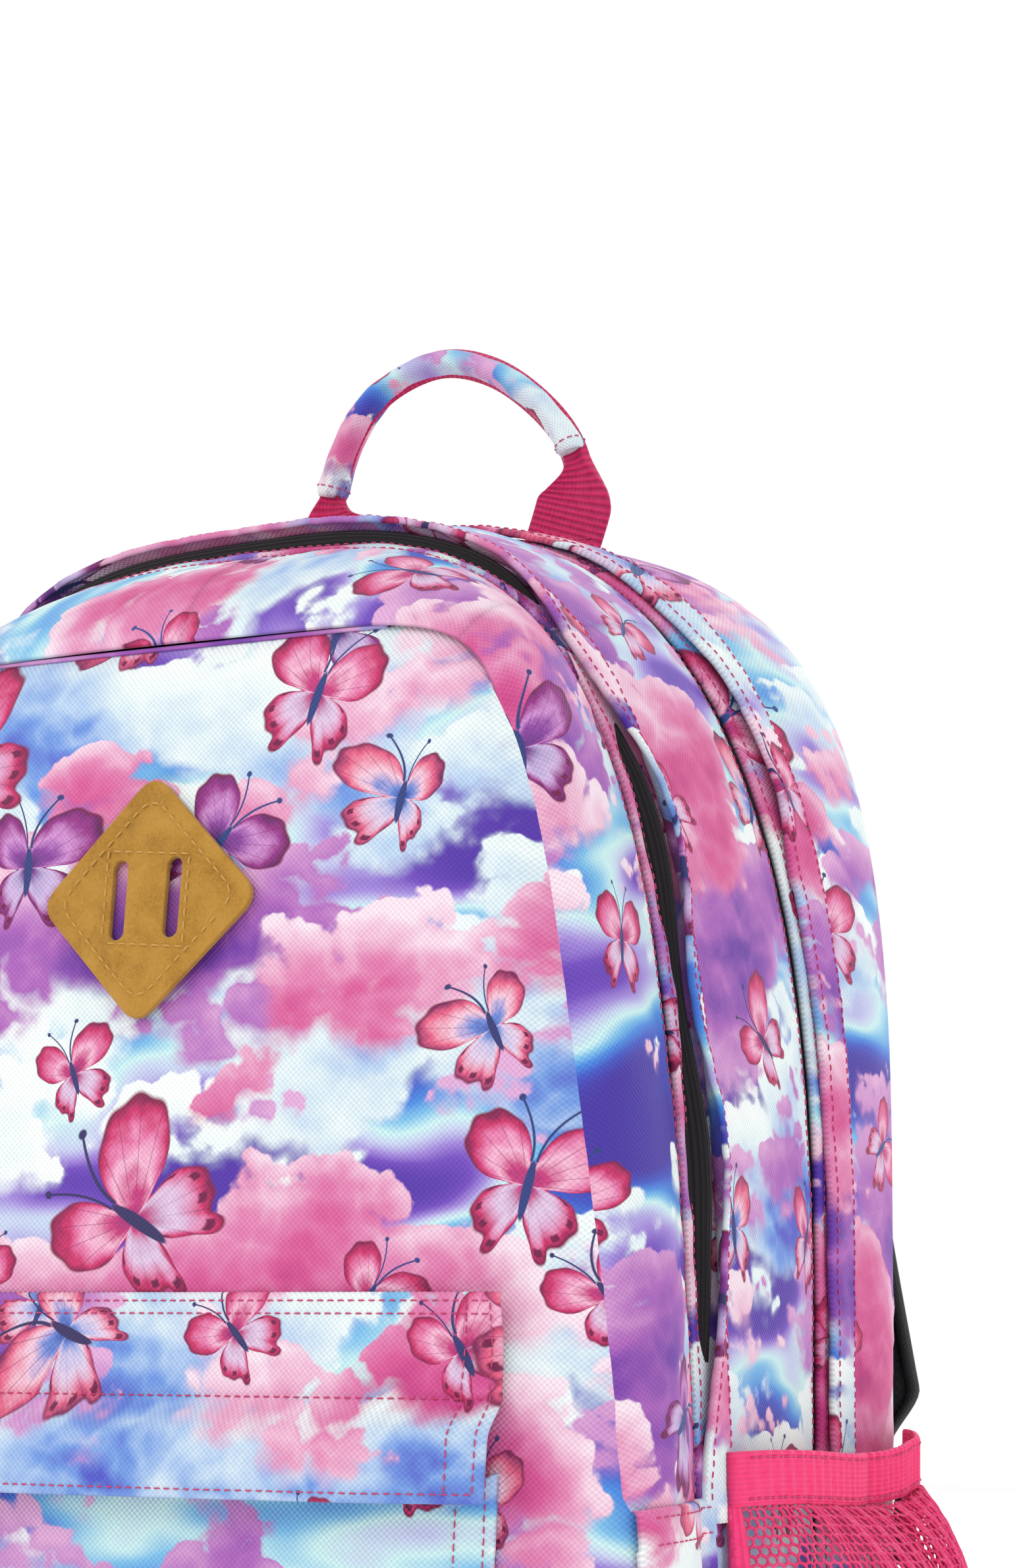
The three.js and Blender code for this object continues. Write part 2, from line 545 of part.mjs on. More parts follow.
// ---------------------------------------------------------------- shoulder straps
const STRAP = { top: [52, 105.4, 404], anchor: [124, 106, 34], pad: 58, webbing: 25 };
function buildStraps() {
  add("strap_yoke", block([-88, 98.6, 413], [88, 101, 429]), "black");
  for (const [side, sign] of [["right", 1], ["left", -1]]) {
    const at = ([x, y, z]) => new THREE.Vector3(sign * x, y, z);
    const padPath = new THREE.CatmullRomCurve3(
      [STRAP.top, [60, 117, 380], [78, 130, 335], [95, 127, 285], [108, 112, 240], [118, 106.5, 195], [121, 106, 168]].map(at),
    );
    const necked = (s) => THREE.MathUtils.smoothstep(s, 0.92, 1) + 0.9 * THREE.MathUtils.smoothstep(-s, -0.2, 0);
    const width = (s) => STRAP.pad - 4 * s - 26 * necked(s);
    const layers = [
      ["lining", 0, 1.2, "black"],
      ["foam", 1.5, 7, "foam"],
      ["cover", 7.3, 8.6, "black"],
    ];
    for (const [layer, low, high, material] of layers) {
      const inset = layer === "foam" ? 5 : 0;
      add(`strap_${layer}_${side}`, ribbon(padPath, 22, (s) => width(s) - inset, low, high), material);
    }
    // The ladder lock hangs from the pad's lower end; the webbing runs from it to the anchor.
    const lock = at([121.5, 112, 151]);
    const anchor = at(STRAP.anchor);
    const lower = new THREE.CatmullRomCurve3([
      at([121.3, 106, 158]), at([122, 106, 130]), at([123, 106, 90]), at([124, 106, 30]),
    ]);
    add(`strap_webbing_${side}`, ribbon(lower, 10, STRAP.webbing, 0, 1.5), "black");
    const frame = new THREE.Shape(points2([[-16, -13], [16, -13], [16, 13], [-16, 13]]));
    for (const z of [-6, 6]) {
      const slot = [[-13, z - 3.5], [-13, z + 3.5], [13, z + 3.5], [13, z - 3.5]];
      frame.holes.push(new THREE.Path(points2(slot)));
    }
    const ladder = new THREE.ExtrudeGeometry(frame, { depth: 3.6, bevelEnabled: false });
    ladder.rotateX(Math.PI / 2).rotateX(THREE.MathUtils.degToRad(-10));
    const buckle = add(`ladder_lock_${side}`, ladder, "plastic");
    buckle.position.copy(lock).add(new THREE.Vector3(0, 5, 0));
    // The webbing's free tail hangs outside the lock.
    const tail = new THREE.CatmullRomCurve3([
      at([121.5, 117.6, 149]), at([121.7, 118.5, 130]), at([122, 119, 100]), at([122, 117.5, 72]),
    ]);
    add(`strap_tail_${side}`, ribbon(tail, 8, STRAP.webbing, 0, 1.5), "black");
    // A doubled triangle of cloth ties the webbing into the lower back corner.
    const tab = new THREE.Shape(points2([[-8, 14], [10, -22], [20, 16], [8, 20]].map(([x, z]) => [sign * x, z])));
    const cloth = new THREE.ExtrudeGeometry(tab, { depth: 2.4, bevelEnabled: false }).rotateX(Math.PI / 2);
    add(`strap_anchor_${side}`, cloth, "black").position.set(anchor.x - sign * 6, 101, 34);
  }
}

// ---------------------------------------------------------------- sliders and pulls
// A slider rides on a coil. In its own frame the coil runs along Z and the bag lies towards -Y.
function sliderGeometry() {
  const neck = block([-1, 1.6, -3], [1, 4.2, 3]);
  const plate = new THREE.ExtrudeGeometry(
    new THREE.Shape(points2([[-2.8, -6.5], [2.8, -6.5], [3.7, 4], [2.4, 6.5], [-2.4, 6.5], [-3.7, 4]])),
    { depth: 1.4, bevelEnabled: false },
  ).rotateX(Math.PI / 2).translate(0, 5.5, 0);
  const bail = cut(block([-1.3, 5.4, -4.5], [1.3, 8.4, 4.5]), block([-2, 5, -3.2], [2, 7.6, 3.2]));
  return join(join(neck, plate), bail);
}
// The pull turns on its own top bar, which lies under the slider's bail.
const PULL_PIVOT = [0, 6.5, -2.3];
function pullGeometry() {
  const outline = [[-3, 0.6], [-4, -5], [-4, -28], [-2.4, -31], [2.4, -31], [4, -28], [4, -5], [3, 0.6]];
  const eye = [[-1.9, -4.8], [-1.9, -0.6], [1.9, -0.6], [1.9, -4.8]];
  const shape = new THREE.Shape(points2(outline));
  shape.holes.push(new THREE.Path(points2(eye)));
  const thickness = 1.2;
  const plate = new THREE.ExtrudeGeometry(shape, { depth: thickness, bevelEnabled: false });
  return plate.translate(0, 0, -thickness / 2).rotateX(Math.PI / 2);
}
function placeSlider(name, point, outward, along) {
  const holder = new THREE.Group();
  const x = new THREE.Vector3().crossVectors(outward, along).normalize();
  holder.setRotationFromMatrix(new THREE.Matrix4().makeBasis(x, outward, along));
  holder.position.copy(point);
  bag.add(holder);
  add(`${name}_slider`, sliderGeometry(), "metal", holder);
  add(`${name}_pull`, pullGeometry(), "metal", holder).position.set(...PULL_PIVOT);
}
function buildSliders() {
  const onSide = (u, d) => [bareSkin(u, d).addScaledVector(skinNormal(u, d), 0.3), skinNormal(u, d)];
  for (const [name, loop, z] of [
    ["front_zip", frontZip, 240], ["main_zip_upper", mainZip, 272], ["main_zip_lower", mainZip, 225],
  ]) {
    const u = 1 - shareAtHeight(loop, z), d = loops.indexOf(loop);
    const [point, outward] = onSide(u, d);
    const along = bareSkin(u - 0.004, d).sub(bareSkin(u + 0.004, d)).normalize();
    const square = outward.clone().addScaledVector(along, -outward.dot(along)).normalize();
    placeSlider(name, point, square, along);
  }
  const point = new THREE.Vector3(-78, pocketFace(0, POCKET.zip) + 1.5, POCKET.zip);
  placeSlider("pocket_zip", point, new THREE.Vector3(0, -1, 0), new THREE.Vector3(-1, 0, 0));
}

buildWalls();
buildGussets();
buildPocket();
buildLashTab();
buildMeshPockets();
buildPiping();
buildHandle();
buildStraps();
buildSliders();

export default bag;
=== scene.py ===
"""The looks of a printed school backpack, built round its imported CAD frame.

Lengths are in millimetres until a mesh is made. The bag's skin is the same loft as the solids':
four seam loops from front to back, with every strip, flap and pocket a layer of that skin.
"""

import math

import bmesh
import bpy
import numpy as np
from mathutils import Matrix, Vector


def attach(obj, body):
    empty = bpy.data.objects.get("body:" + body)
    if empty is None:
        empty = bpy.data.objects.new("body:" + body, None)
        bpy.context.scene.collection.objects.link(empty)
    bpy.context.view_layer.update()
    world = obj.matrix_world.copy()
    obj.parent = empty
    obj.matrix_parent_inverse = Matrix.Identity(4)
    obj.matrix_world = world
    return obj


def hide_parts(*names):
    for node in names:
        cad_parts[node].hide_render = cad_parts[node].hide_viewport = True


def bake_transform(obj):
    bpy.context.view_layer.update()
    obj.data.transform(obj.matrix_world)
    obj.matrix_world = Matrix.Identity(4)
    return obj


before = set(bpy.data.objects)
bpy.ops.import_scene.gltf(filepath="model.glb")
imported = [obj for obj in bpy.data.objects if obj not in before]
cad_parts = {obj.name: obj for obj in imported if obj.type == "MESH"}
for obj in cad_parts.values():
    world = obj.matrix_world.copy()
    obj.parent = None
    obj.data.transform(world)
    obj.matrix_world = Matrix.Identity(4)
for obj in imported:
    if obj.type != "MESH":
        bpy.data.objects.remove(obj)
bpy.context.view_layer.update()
MM = 0.001
SCENE = bpy.context.scene


# ------------------------------------------------------------------ camera, light and floor
def build_stage():
    # The picture is the upper right part of a level view, so the lens is shifted and not tilted.
    azimuth = math.radians(28)
    distance = 0.952
    aim = Vector((0, 0, 0.215))
    data = bpy.data.cameras.new("camera")
    data.lens = 77.2
    data.sensor_width = 36
    data.shift_x = 0.1284
    data.shift_y = 0.3315
    data.clip_end = 50
    camera = add_object("camera", data)
    away = Vector((math.sin(azimuth), -math.cos(azimuth), 0))
    turn = Matrix.Rotation(azimuth, 4, "Z") @ Matrix.Rotation(math.pi / 2, 4, "X")
    camera.matrix_world = Matrix.Translation(aim + away * distance) @ turn
    SCENE.camera = camera
    SCENE.view_settings.view_transform = "Standard"

    world = bpy.data.worlds.new("studio")
    SCENE.world = world
    world.use_nodes = True
    background = world.node_tree.nodes["Background"]
    background.inputs["Color"].default_value = (1, 1, 1, 1)
    background.inputs["Strength"].default_value = 1.0
    bag_middle = Vector((0, 0, 0.24))
    lights = [
        ("key", (-0.85, -1.15, 1.25), 0.8, 5),
        ("side", (1.35, -0.45, 0.75), 0.8, 1.5),
        ("back", (0.2, 1.3, 1.1), 0.9, 4),
    ]
    for name, at, size, power in lights:
        lamp = bpy.data.lights.new(name, "AREA")
        lamp.size = size
        lamp.energy = power
        thing = add_object(name, lamp)
        thing.location = at
        thing.rotation_euler = (bag_middle - Vector(at)).to_track_quat("-Z", "Y").to_euler()

    floor = Builder("floor")
    floor_z, floor_thick = -0.2, 5
    span = np.linspace(-3000, 3000, 9)
    gx, gy = np.meshgrid(span, span, indexing="ij")
    top = np.stack([gx, gy, np.full_like(gx, floor_z)], -1)
    floor.grid(top, top - [0, 0, floor_thick], top[..., :2], 0)
    paper = plain("floor", (253, 253, 253), 0.9)
    shader = paper.node_tree.nodes["Principled BSDF"]
    shader.inputs["Emission Color"].default_value = (1, 1, 1, 1)
    shader.inputs["Emission Strength"].default_value = 0.12
    floor.build([paper])


# ------------------------------------------------------------------ meshes
class Builder:
    """Gathers grids and stitches into one mesh."""

    def __init__(self, name):
        self.name = name
        self.verts, self.faces, self.uvs, self.slots = [], [], [], []
        self.count = 0

    def add(self, verts, faces, uv, slot):
        self.verts.append(verts)
        self.uvs.append(uv)
        self.faces += [[n + self.count for n in f] for f in faces]
        self.slots += [slot] * len(faces)
        self.count += len(verts)

    def grid(self, outer, inner, uv, slot=0):
        """A closed sheet between two grids of points."""
        rows, cols = outer.shape[:2]
        n = rows * cols
        index = np.arange(n).reshape(rows, cols)
        a, b, c, d = index[:-1, :-1], index[:-1, 1:], index[1:, 1:], index[1:, :-1]
        top = np.stack([a, b, c, d], -1).reshape(-1, 4)
        under = np.stack([a, d, c, b], -1).reshape(-1, 4) + n
        rim = np.concatenate([index[0, :], index[1:, -1], index[-1, -2::-1], index[-2:0:-1, 0]])
        after = np.roll(rim, -1)
        side = np.stack([after, rim, rim + n, after + n], -1)
        verts = np.concatenate([outer.reshape(-1, 3), inner.reshape(-1, 3)])
        quads = outward(verts, np.concatenate([top, under, side]))
        flat = uv.reshape(-1, 2)
        self.add(verts, quads.tolist(), np.concatenate([flat, flat]), slot)

    def tube(self, rings, uv, slot=0):
        """A closed tube through rings of points, capped at both ends."""
        rows, cols = rings.shape[:2]
        index = np.arange(rows * cols).reshape(rows, cols)
        right = np.roll(index, -1, axis=1)
        quads = np.stack([index[:-1], right[:-1], right[1:], index[1:]], -1).reshape(-1, 4)
        verts = rings.reshape(-1, 3)
        faces = quads.tolist() + [index[0][::-1].tolist(), index[-1].tolist()]
        if points_in(verts, quads):
            faces = [f[::-1] for f in faces]
        self.add(verts, faces, uv.reshape(-1, 2), slot)

    def disc(self, near, far, uv):
        """A closed lens between two fans of rings. Ring 0 holds copies of the middle point."""
        rows, cols = near.shape[:2]
        verts, faces, uvs = [], [], []
        for side, rings in enumerate((near, far)):
            base = side * (1 + (rows - 1) * cols)
            verts += [rings[0, :1], rings[1:].reshape(-1, 3)]
            uvs += [uv[0, :1], uv[1:].reshape(-1, 2)]
            ring = base + 1 + np.arange((rows - 1) * cols).reshape(rows - 1, cols)
            right = np.roll(ring, -1, axis=1)
            fan = np.stack([np.full(cols, base), ring[0], right[0]], -1)
            quads = np.stack([ring[:-1], ring[1:], right[1:], right[:-1]], -1).reshape(-1, 4)
            if side:
                fan, quads = fan[:, ::-1], quads[:, ::-1]
            faces += fan.tolist() + quads.tolist()
            edge = ring[-1] if side == 0 else edge
        last = ring[-1]
        faces += np.stack([edge, last, np.roll(last, -1), np.roll(edge, -1)], -1).tolist()
        verts = np.concatenate(verts)
        if points_in(verts, np.array([f[:3] for f in faces])):
            faces = [f[::-1] for f in faces]
        self.add(verts, faces, np.concatenate(uvs), 0)

    def stitches(self, path, up, slot=1, pitch=2.8, length=2.05, radius=0.21):
        """A row of thread stitches along a path, lying on a surface whose normals are up."""
        arc = arc_lengths(path)
        count = int(arc[-1] / pitch)
        if count < 1:
            return
        sides = 5
        starts = (np.arange(count) + 0.5) * pitch - length / 2 + (arc[-1] - count * pitch) / 2
        # Four rings along each stitch: the share of its length, its thickness and its lift in mm.
        profile = ((0, 0.45, -0.25), (0.2, 1, 0.12), (0.8, 1, 0.12), (1, 0.45, -0.25))
        usual_radius = 0.21
        along = unit(sample(path, arc, starts + length) - sample(path, arc, starts))
        normal = unit(sample(up, arc, starts + length / 2))
        across = unit(np.cross(along, normal))
        rings = []
        for share, r, lift in profile:
            middle = sample(path, arc, starts + share * length) + normal * lift * radius / usual_radius
            for k in range(sides):
                a = 2 * math.pi * k / sides
                rings.append(middle + radius * r * (math.cos(a) * across + math.sin(a) * normal))
        verts = np.stack(rings, 1)
        faces = []
        for r in range(3):
            for k in range(sides):
                j = (k + 1) % sides
                faces.append([r * sides + k, r * sides + j, (r + 1) * sides + j, (r + 1) * sides + k])
        faces += [list(range(sides))[::-1], list(range(3 * sides, 4 * sides))]
        whole = [[f + n * 4 * sides for f in face] for n in range(count) for face in faces]
        self.add(verts.reshape(-1, 3), whole, np.zeros((count * 4 * sides, 2)), slot)

    def build(self, materials):
        mesh = bpy.data.meshes.new(self.name)
        verts = np.concatenate(self.verts) * MM
        mesh.from_pydata(verts.tolist(), [], self.faces)
        for material in materials:
            mesh.materials.append(material)
        mesh.polygons.foreach_set("material_index", self.slots)
        mesh.polygons.foreach_set("use_smooth", [True] * len(self.faces))
        set_uvs(mesh, np.concatenate(self.uvs) * MM)
        mesh.update()
        thing = add_object(self.name, mesh)
        return thing


def add_object(name, data):
    thing = bpy.data.objects.new(name, data)
    SCENE.collection.objects.link(thing)
    return thing


def set_uvs(mesh, uv):
    """Gives a mesh a UV map from one UV for each vertex."""
    corner = np.empty(len(mesh.loops), np.int32)
    mesh.loops.foreach_get("vertex_index", corner)
    mesh.uv_layers.new(name="UVMap").data.foreach_set("uv", uv[corner].astype(np.float32).ravel())


def evaluated(thing):
    """An object with its modifiers applied."""
    return thing.evaluated_get(bpy.context.evaluated_depsgraph_get())


def vertex_array(mesh):
    return np.array([v.co for v in mesh.vertices])


def points_in(verts, corners):
    """Whether faces, each given by three or more corners, point inwards on the whole."""
    p = verts[corners] - verts.mean(0)
    return np.einsum("ij,ij->i", p[:, 0], np.cross(p[:, 1], p[:, 2])).sum() < 0


def outward(verts, quads):
    """The faces of a closed sheet, turned round if they point inwards."""
    p = verts[quads] - verts.mean(0)
    volume = np.einsum("ij,ij->i", p[:, 0], np.cross(p[:, 1], p[:, 2]))
    volume += np.einsum("ij,ij->i", p[:, 0], np.cross(p[:, 2], p[:, 3]))
    return quads if volume.sum() > 0 else quads[:, ::-1]


def unit(v):
    return v / np.maximum(np.linalg.norm(v, axis=-1, keepdims=True), 1e-9)


def arc_lengths(path):
    """The length along a path up to each of its points."""
    return np.concatenate([[0], np.cumsum(np.linalg.norm(np.diff(path, axis=0), axis=1))])


def sample(values, arc, s):
    """Values along a path at lengths s, where arc is the length at each of its points."""
    return np.stack([np.interp(s, arc, values[:, k]) for k in range(values.shape[1])], -1)


def smooth_step(x, low, high):
    t = np.clip((x - low) / (high - low), 0, 1)
    return t * t * (3 - 2 * t)


def grid_normals(points, towards):
    """Normals of a grid of points, on the side of a rough direction."""
    n = unit(np.cross(np.gradient(points, axis=0), np.gradient(points, axis=1)))
    return n if (n.reshape(-1, 3) @ np.array(towards, float)).sum() > 0 else -n


def ripple(u, v, seed, size):
    """Seeded soft wrinkles about `size` mm long, between about -1 and 1."""
    rng = np.random.default_rng(seed)
    total = 0
    for _ in range(10):
        angle = rng.uniform(0, math.pi)
        wave = size * rng.uniform(0.6, 1.7)
        phase = rng.uniform(0, 2 * math.pi)
        along = u * math.cos(angle) + v * math.sin(angle)
        total = total + np.sin(2 * math.pi * along / wave + phase)
    return total / 4.5


def rounding(e, radius):
    """How far a rounded edge drops at a distance e inside the edge."""
    t = np.clip(radius - e, 0, radius)
    return radius - np.sqrt(np.maximum(radius**2 - t**2, 0))


def spaced(start, end, fine=(0, 0.2, 0.5, 0.9, 1.5, 2.3, 3.4, 4.8, 6.4, 8.2), step=4.0):
    """Lines across a strip, close together at both edges."""
    half = (end - start) / 2
    near = [f for f in fine if f < half]
    while half - near[-1] > step * 0.75:
        near.append(min(half, near[-1] + step))
    left = np.array(near)
    return np.unique(np.round(np.concatenate([start + left, end - left]), 4))


# ------------------------------------------------------------------ the bag's skin
MID = 200.0
BASE_SQUARE = 8.0


def folded(w):
    """The share of the way round, measured up the nearer side."""
    return np.where(w <= 0.5, w, 1 - w)


def strip_index(d):
    return np.clip(np.floor(d), 0, 2).astype(int)


class SeamLoop:
    """A seam round the bag. The share w of the way round runs from the middle of the base (0)
    up the right side and over the top (0.5), and down the left side (1)."""

    def __init__(self, y, lean, top, wide, wide_top, square):
        self.y, self.lean, self.top = y, lean, top
        self.wide, self.wide_top, self.square = wide, wide_top, square
        t = np.linspace(0, 0.5, 6001)
        a = -np.pi / 2 + 2 * np.pi * t
        s, c = np.sin(a), np.maximum(np.cos(a), 0)
        p = np.where(s >= 0, square, BASE_SQUARE)
        half = np.where(s >= 0, top - MID, MID)
        z = MID + np.sign(s) * half * np.abs(s) ** (2 / p)
        x = self.flank(z) * c ** (2 / p)
        self.points = np.stack([x, self.depth(z), z], -1)
        self.arc = arc_lengths(self.points)
        widest, whole = self.arc[3000], self.arc[-1]
        low = 0.25 * self.arc / widest
        high = 0.25 + 0.25 * (self.arc - widest) / (whole - widest)
        self.share = np.where(t <= 0.25, low, high)

    def flank(self, z):
        t = np.maximum(0, (z - 110) / (self.top - 110))
        return self.wide - (self.wide - self.wide_top) * t**1.2

    def half_width(self, z):
        upper = z >= MID
        v = np.where(upper, (z - MID) / (self.top - MID), (MID - z) / MID)
        p = np.where(upper, self.square, BASE_SQUARE)
        return self.flank(z) * np.maximum(0, 1 - np.clip(v, 0, 1) ** p) ** (1 / p)

    def depth(self, z):
        return self.y + self.lean * z

    def place(self, w):
        p = sample(self.points, self.share, folded(w))
        p[..., 0] *= np.where(w <= 0.5, 1, -1)
        return p

    def length_to(self, w):
        run = np.interp(folded(w), self.share, self.arc)
        return np.where(w <= 0.5, run, 2 * self.arc[-1] - run)

    def share_at(self, z):
        return float(np.interp(z, self.points[:, 2][50:], self.share[50:]))


FRONT_SEAM = SeamLoop(-112, 0.1, 390, 146, 97, 8)
FRONT_ZIP = SeamLoop(-66, 0.085, 418.5, 138.5, 112, 3.4)
MAIN_ZIP = SeamLoop(34, 0, 435, 136.5, 136.5, 2.7)
BACK_SEAM = SeamLoop(92, 0, 436, 141.5, 141.5, 3.7)
LOOPS = (FRONT_SEAM, FRONT_ZIP, MAIN_ZIP, BACK_SEAM)
STRIP = (54.0, 93.0, 58.0)
BULGE = (5.0, 5.0, 4.0)
CLOTH, GAP, ZIP_HALF_GAP = 1.4, 0.4, 2.5
STITCH_INSET, SECOND_INSET = 2.2, 8.5

MESH_TOP, BAND_TALL = 177, 13
W_BASE = MAIN_ZIP.share_at(3)
W_ZIP_END = FRONT_SEAM.share_at(168)
W_MESH_LOW = MAIN_ZIP.share_at(15)
W_MESH_TOP = MAIN_ZIP.share_at(MESH_TOP)
W_BAND = W_MESH_TOP - MAIN_ZIP.share_at(MESH_TOP - BAND_TALL)
W_FLAP_END = W_MESH_TOP - 0.014
W_FRONT_LID = 0.425  # the share where the front lid's cloth begins
W_MAIN_LID = 0.418
SIDE_RUN = 1320.0  # about the length in mm of a whole turn of a seam


def bare(w, d):
    """A point between the seams. Station d is 0 at the front seam, 1 at the front zipper, 2 at the
    main zipper and 3 at the back seam."""
    w, d = np.broadcast_arrays(np.asarray(w, float), np.asarray(d, float))
    k = strip_index(d)
    f = (d - k)[..., None]
    places = np.stack([loop.place(w) for loop in LOOPS])
    low = np.take_along_axis(places, k[None, ..., None], 0)[0]
    high = np.take_along_axis(places, k[None, ..., None] + 1, 0)[0]
    return low + (high - low) * f


def skin_normal(w, d):
    h = 1e-3
    side = np.clip(d, 0.001, 2.999)
    along = bare(np.minimum(1, w + h), side) - bare(np.maximum(0, w - h), side)
    across = bare(w, np.minimum(3, side + h)) - bare(w, np.maximum(0, side - h))
    return unit(np.cross(across, along))


def upright(w):
    return smooth_step(np.minimum(w, 1 - w), W_BASE, W_BASE + 0.06)


def belly(w, d):
    """How far a strip bulges out between its two seams."""
    k = strip_index(d)
    f = d - k
    return np.array(BULGE)[k] * 4 * f * (1 - f) * upright(w)


def skin(w, d, offset):
    """A point at a height over the bulging skin."""
    w, d = np.broadcast_arrays(np.asarray(w, float), np.asarray(d, float))
    return bare(w, d) + skin_normal(w, d) * (belly(w, d) + offset)[..., None]


def run_length(w, d):
    """Length along the skin from the middle of the base."""
    k = strip_index(d)
    lengths = np.stack([loop.length_to(w + 0 * d) for loop in LOOPS])
    low = np.take_along_axis(lengths, k[None], 0)[0]
    high = np.take_along_axis(lengths, k[None] + 1, 0)[0]
    return low + (high - low) * (d - k)


def w_lines(w0, w1, step=3.0):
    """Shares from w0 to w1, about step mm apart."""
    length = abs(MAIN_ZIP.length_to(np.array(w1)) - MAIN_ZIP.length_to(np.array(w0)))
    return np.linspace(w0, w1, max(3, int(length / step)))


# ------------------------------------------------------------------ materials
def srgb(rgb):
    c = np.array(rgb, float) / 255
    c = np.where(c <= 0.04045, c / 12.92, ((c + 0.055) / 1.055) ** 2.4)
    return (*c.tolist(), 1.0)


class Graph:
    """Short names for the shader nodes that the materials use."""

    def __init__(self, tree):
        self.tree = tree

    def node(self, kind, inputs=None, **settings):
        n = self.tree.nodes.new(kind)
        for key, value in settings.items():
            setattr(n, key, value)
        for key, value in (inputs or {}).items():
            self.set(n.inputs[key], value)
        return n

    def set(self, socket, value):
        if isinstance(value, bpy.types.NodeSocket):
            self.tree.links.new(value, socket)
        elif value is not None:
            socket.default_value = value

    def math(self, op, a, b=None, c=None, clamp=False):
        n = self.node("ShaderNodeMath", operation=op, use_clamp=clamp)
        for socket, value in zip(n.inputs, (a, b, c)):
            self.set(socket, value)
        return n.outputs[0]

    def vector(self, op, a, b=None, scale=None):
        n = self.node("ShaderNodeVectorMath", operation=op)
        self.set(n.inputs[0], a)
        self.set(n.inputs[1], b)
        if scale is not None:
            self.set(n.inputs["Scale"], scale)
        return n.outputs["Value" if op in ("LENGTH", "DOT_PRODUCT") else "Vector"]

    def split(self, v):
        return self.node("ShaderNodeSeparateXYZ", {0: v}).outputs

    def join(self, x, y, z=0.0):
        return self.node("ShaderNodeCombineXYZ", {0: x, 1: y, 2: z}).outputs[0]

    def smooth(self, x, low, high):
        n = self.node("ShaderNodeMapRange", interpolation_type="SMOOTHSTEP")
        for key, value in (("Value", x), ("From Min", low), ("From Max", high)):
            self.set(n.inputs[key], value)
        return n.outputs[0]

    def mix(self, share, a, b, blend="MIX"):
        n = self.node("ShaderNodeMix", data_type="RGBA", blend_type=blend, clamp_factor=True)
        self.set(n.inputs[0], share)
        self.set(n.inputs[6], a)
        self.set(n.inputs[7], b)
        return n.outputs[2]

    def ramp(self, x, stops):
        n = self.node("ShaderNodeValToRGB", {0: x})
        ramp = n.color_ramp
        while len(ramp.elements) < len(stops):
            ramp.elements.new(0.5)
        for element, (place, rgb) in zip(ramp.elements, stops):
            element.position = place
            element.color = srgb(rgb)
        return n.outputs[0]

    def noise(self, v, scale, detail=2.0, rough=0.5):
        inputs = {"Vector": v, "Scale": scale, "Detail": detail, "Roughness": rough}
        return self.node("ShaderNodeTexNoise", inputs, noise_dimensions="2D").outputs[0]

    def cells(self, v, scale, smoothness):
        n = self.node(
            "ShaderNodeTexVoronoi",
            {"Vector": v, "Scale": scale},
            voronoi_dimensions="2D",
            feature="SMOOTH_F1",
        )
        n.inputs["Smoothness"].default_value = smoothness
        return n.outputs["Distance"]

    def curve(self, x, points):
        n = self.node("ShaderNodeFloatCurve", {"Value": x})
        c = n.mapping.curves[0]
        while len(c.points) < len(points):
            c.points.new(0.5, 0.5)
        for p, (px, py) in zip(c.points, points):
            p.location = (px, py)
        n.mapping.update()
        return n.outputs[0]

    def place_mm(self, source):
        """The UVs, or an object's own coordinates, in millimetres."""
        if source == "UV":
            place = self.node("ShaderNodeUVMap").outputs[0]
        else:
            place = self.node("ShaderNodeTexCoord").outputs[source]
        return self.vector("SCALE", place, scale=1000.0)

    def shaded(self, colour, shade):
        return self.mix(1.0, colour, self.join(shade, shade, shade), "MULTIPLY")


def new_material(name):
    material = bpy.data.materials.new(name)
    material.use_nodes = True
    tree = material.node_tree
    shader = tree.nodes["Principled BSDF"]
    return material, Graph(tree), shader


def bump(g, shader, height, distance, strength):
    n = g.node("ShaderNodeBump", {"Height": height, "Distance": distance, "Strength": strength})
    g.set(shader.inputs["Normal"], n.outputs[0])


def plain(name, rgb, roughness):
    material, g, shader = new_material(name)
    place = g.node("ShaderNodeTexCoord").outputs["Object"]
    tone = g.math("MULTIPLY", g.noise(place, 3.0, 3), 0.04)
    g.set(shader.inputs["Base Color"], g.mix(tone, srgb(rgb), (1, 1, 1, 1)))
    shader.inputs["Roughness"].default_value = roughness
    return material


def cloud_height(g, p):
    """Billowing cloud tops: broad banks, with round puffs at three sizes on them."""
    broad = g.noise(g.vector("MULTIPLY", p, (1 / 135, 1 / 76, 0)), 1.0, 1.0)
    drift_inputs = {"Vector": p, "Scale": 1 / 16, "Detail": 3.0}
    drift = g.node("ShaderNodeTexNoise", drift_inputs, noise_dimensions="2D")
    warped = g.vector("ADD", p, g.vector("SCALE", drift.outputs[1], scale=9.0))
    total = broad
    for size, tall, lift in ((40, 1.35, 0.2), (17, 1.15, 0.09), (7, 1.1, 0.035)):
        away = g.cells(g.vector("MULTIPLY", warped, (1, tall, 0)), 1 / size, smoothness=0.12)
        round_top = g.math("MULTIPLY_ADD", g.math("MULTIPLY", away, away), -1.6 * lift, lift)
        total = g.math("ADD", total, round_top)
    return g.math("MULTIPLY_ADD", g.noise(p, 1 / 3.5, 3, 0.6), 0.03, total)


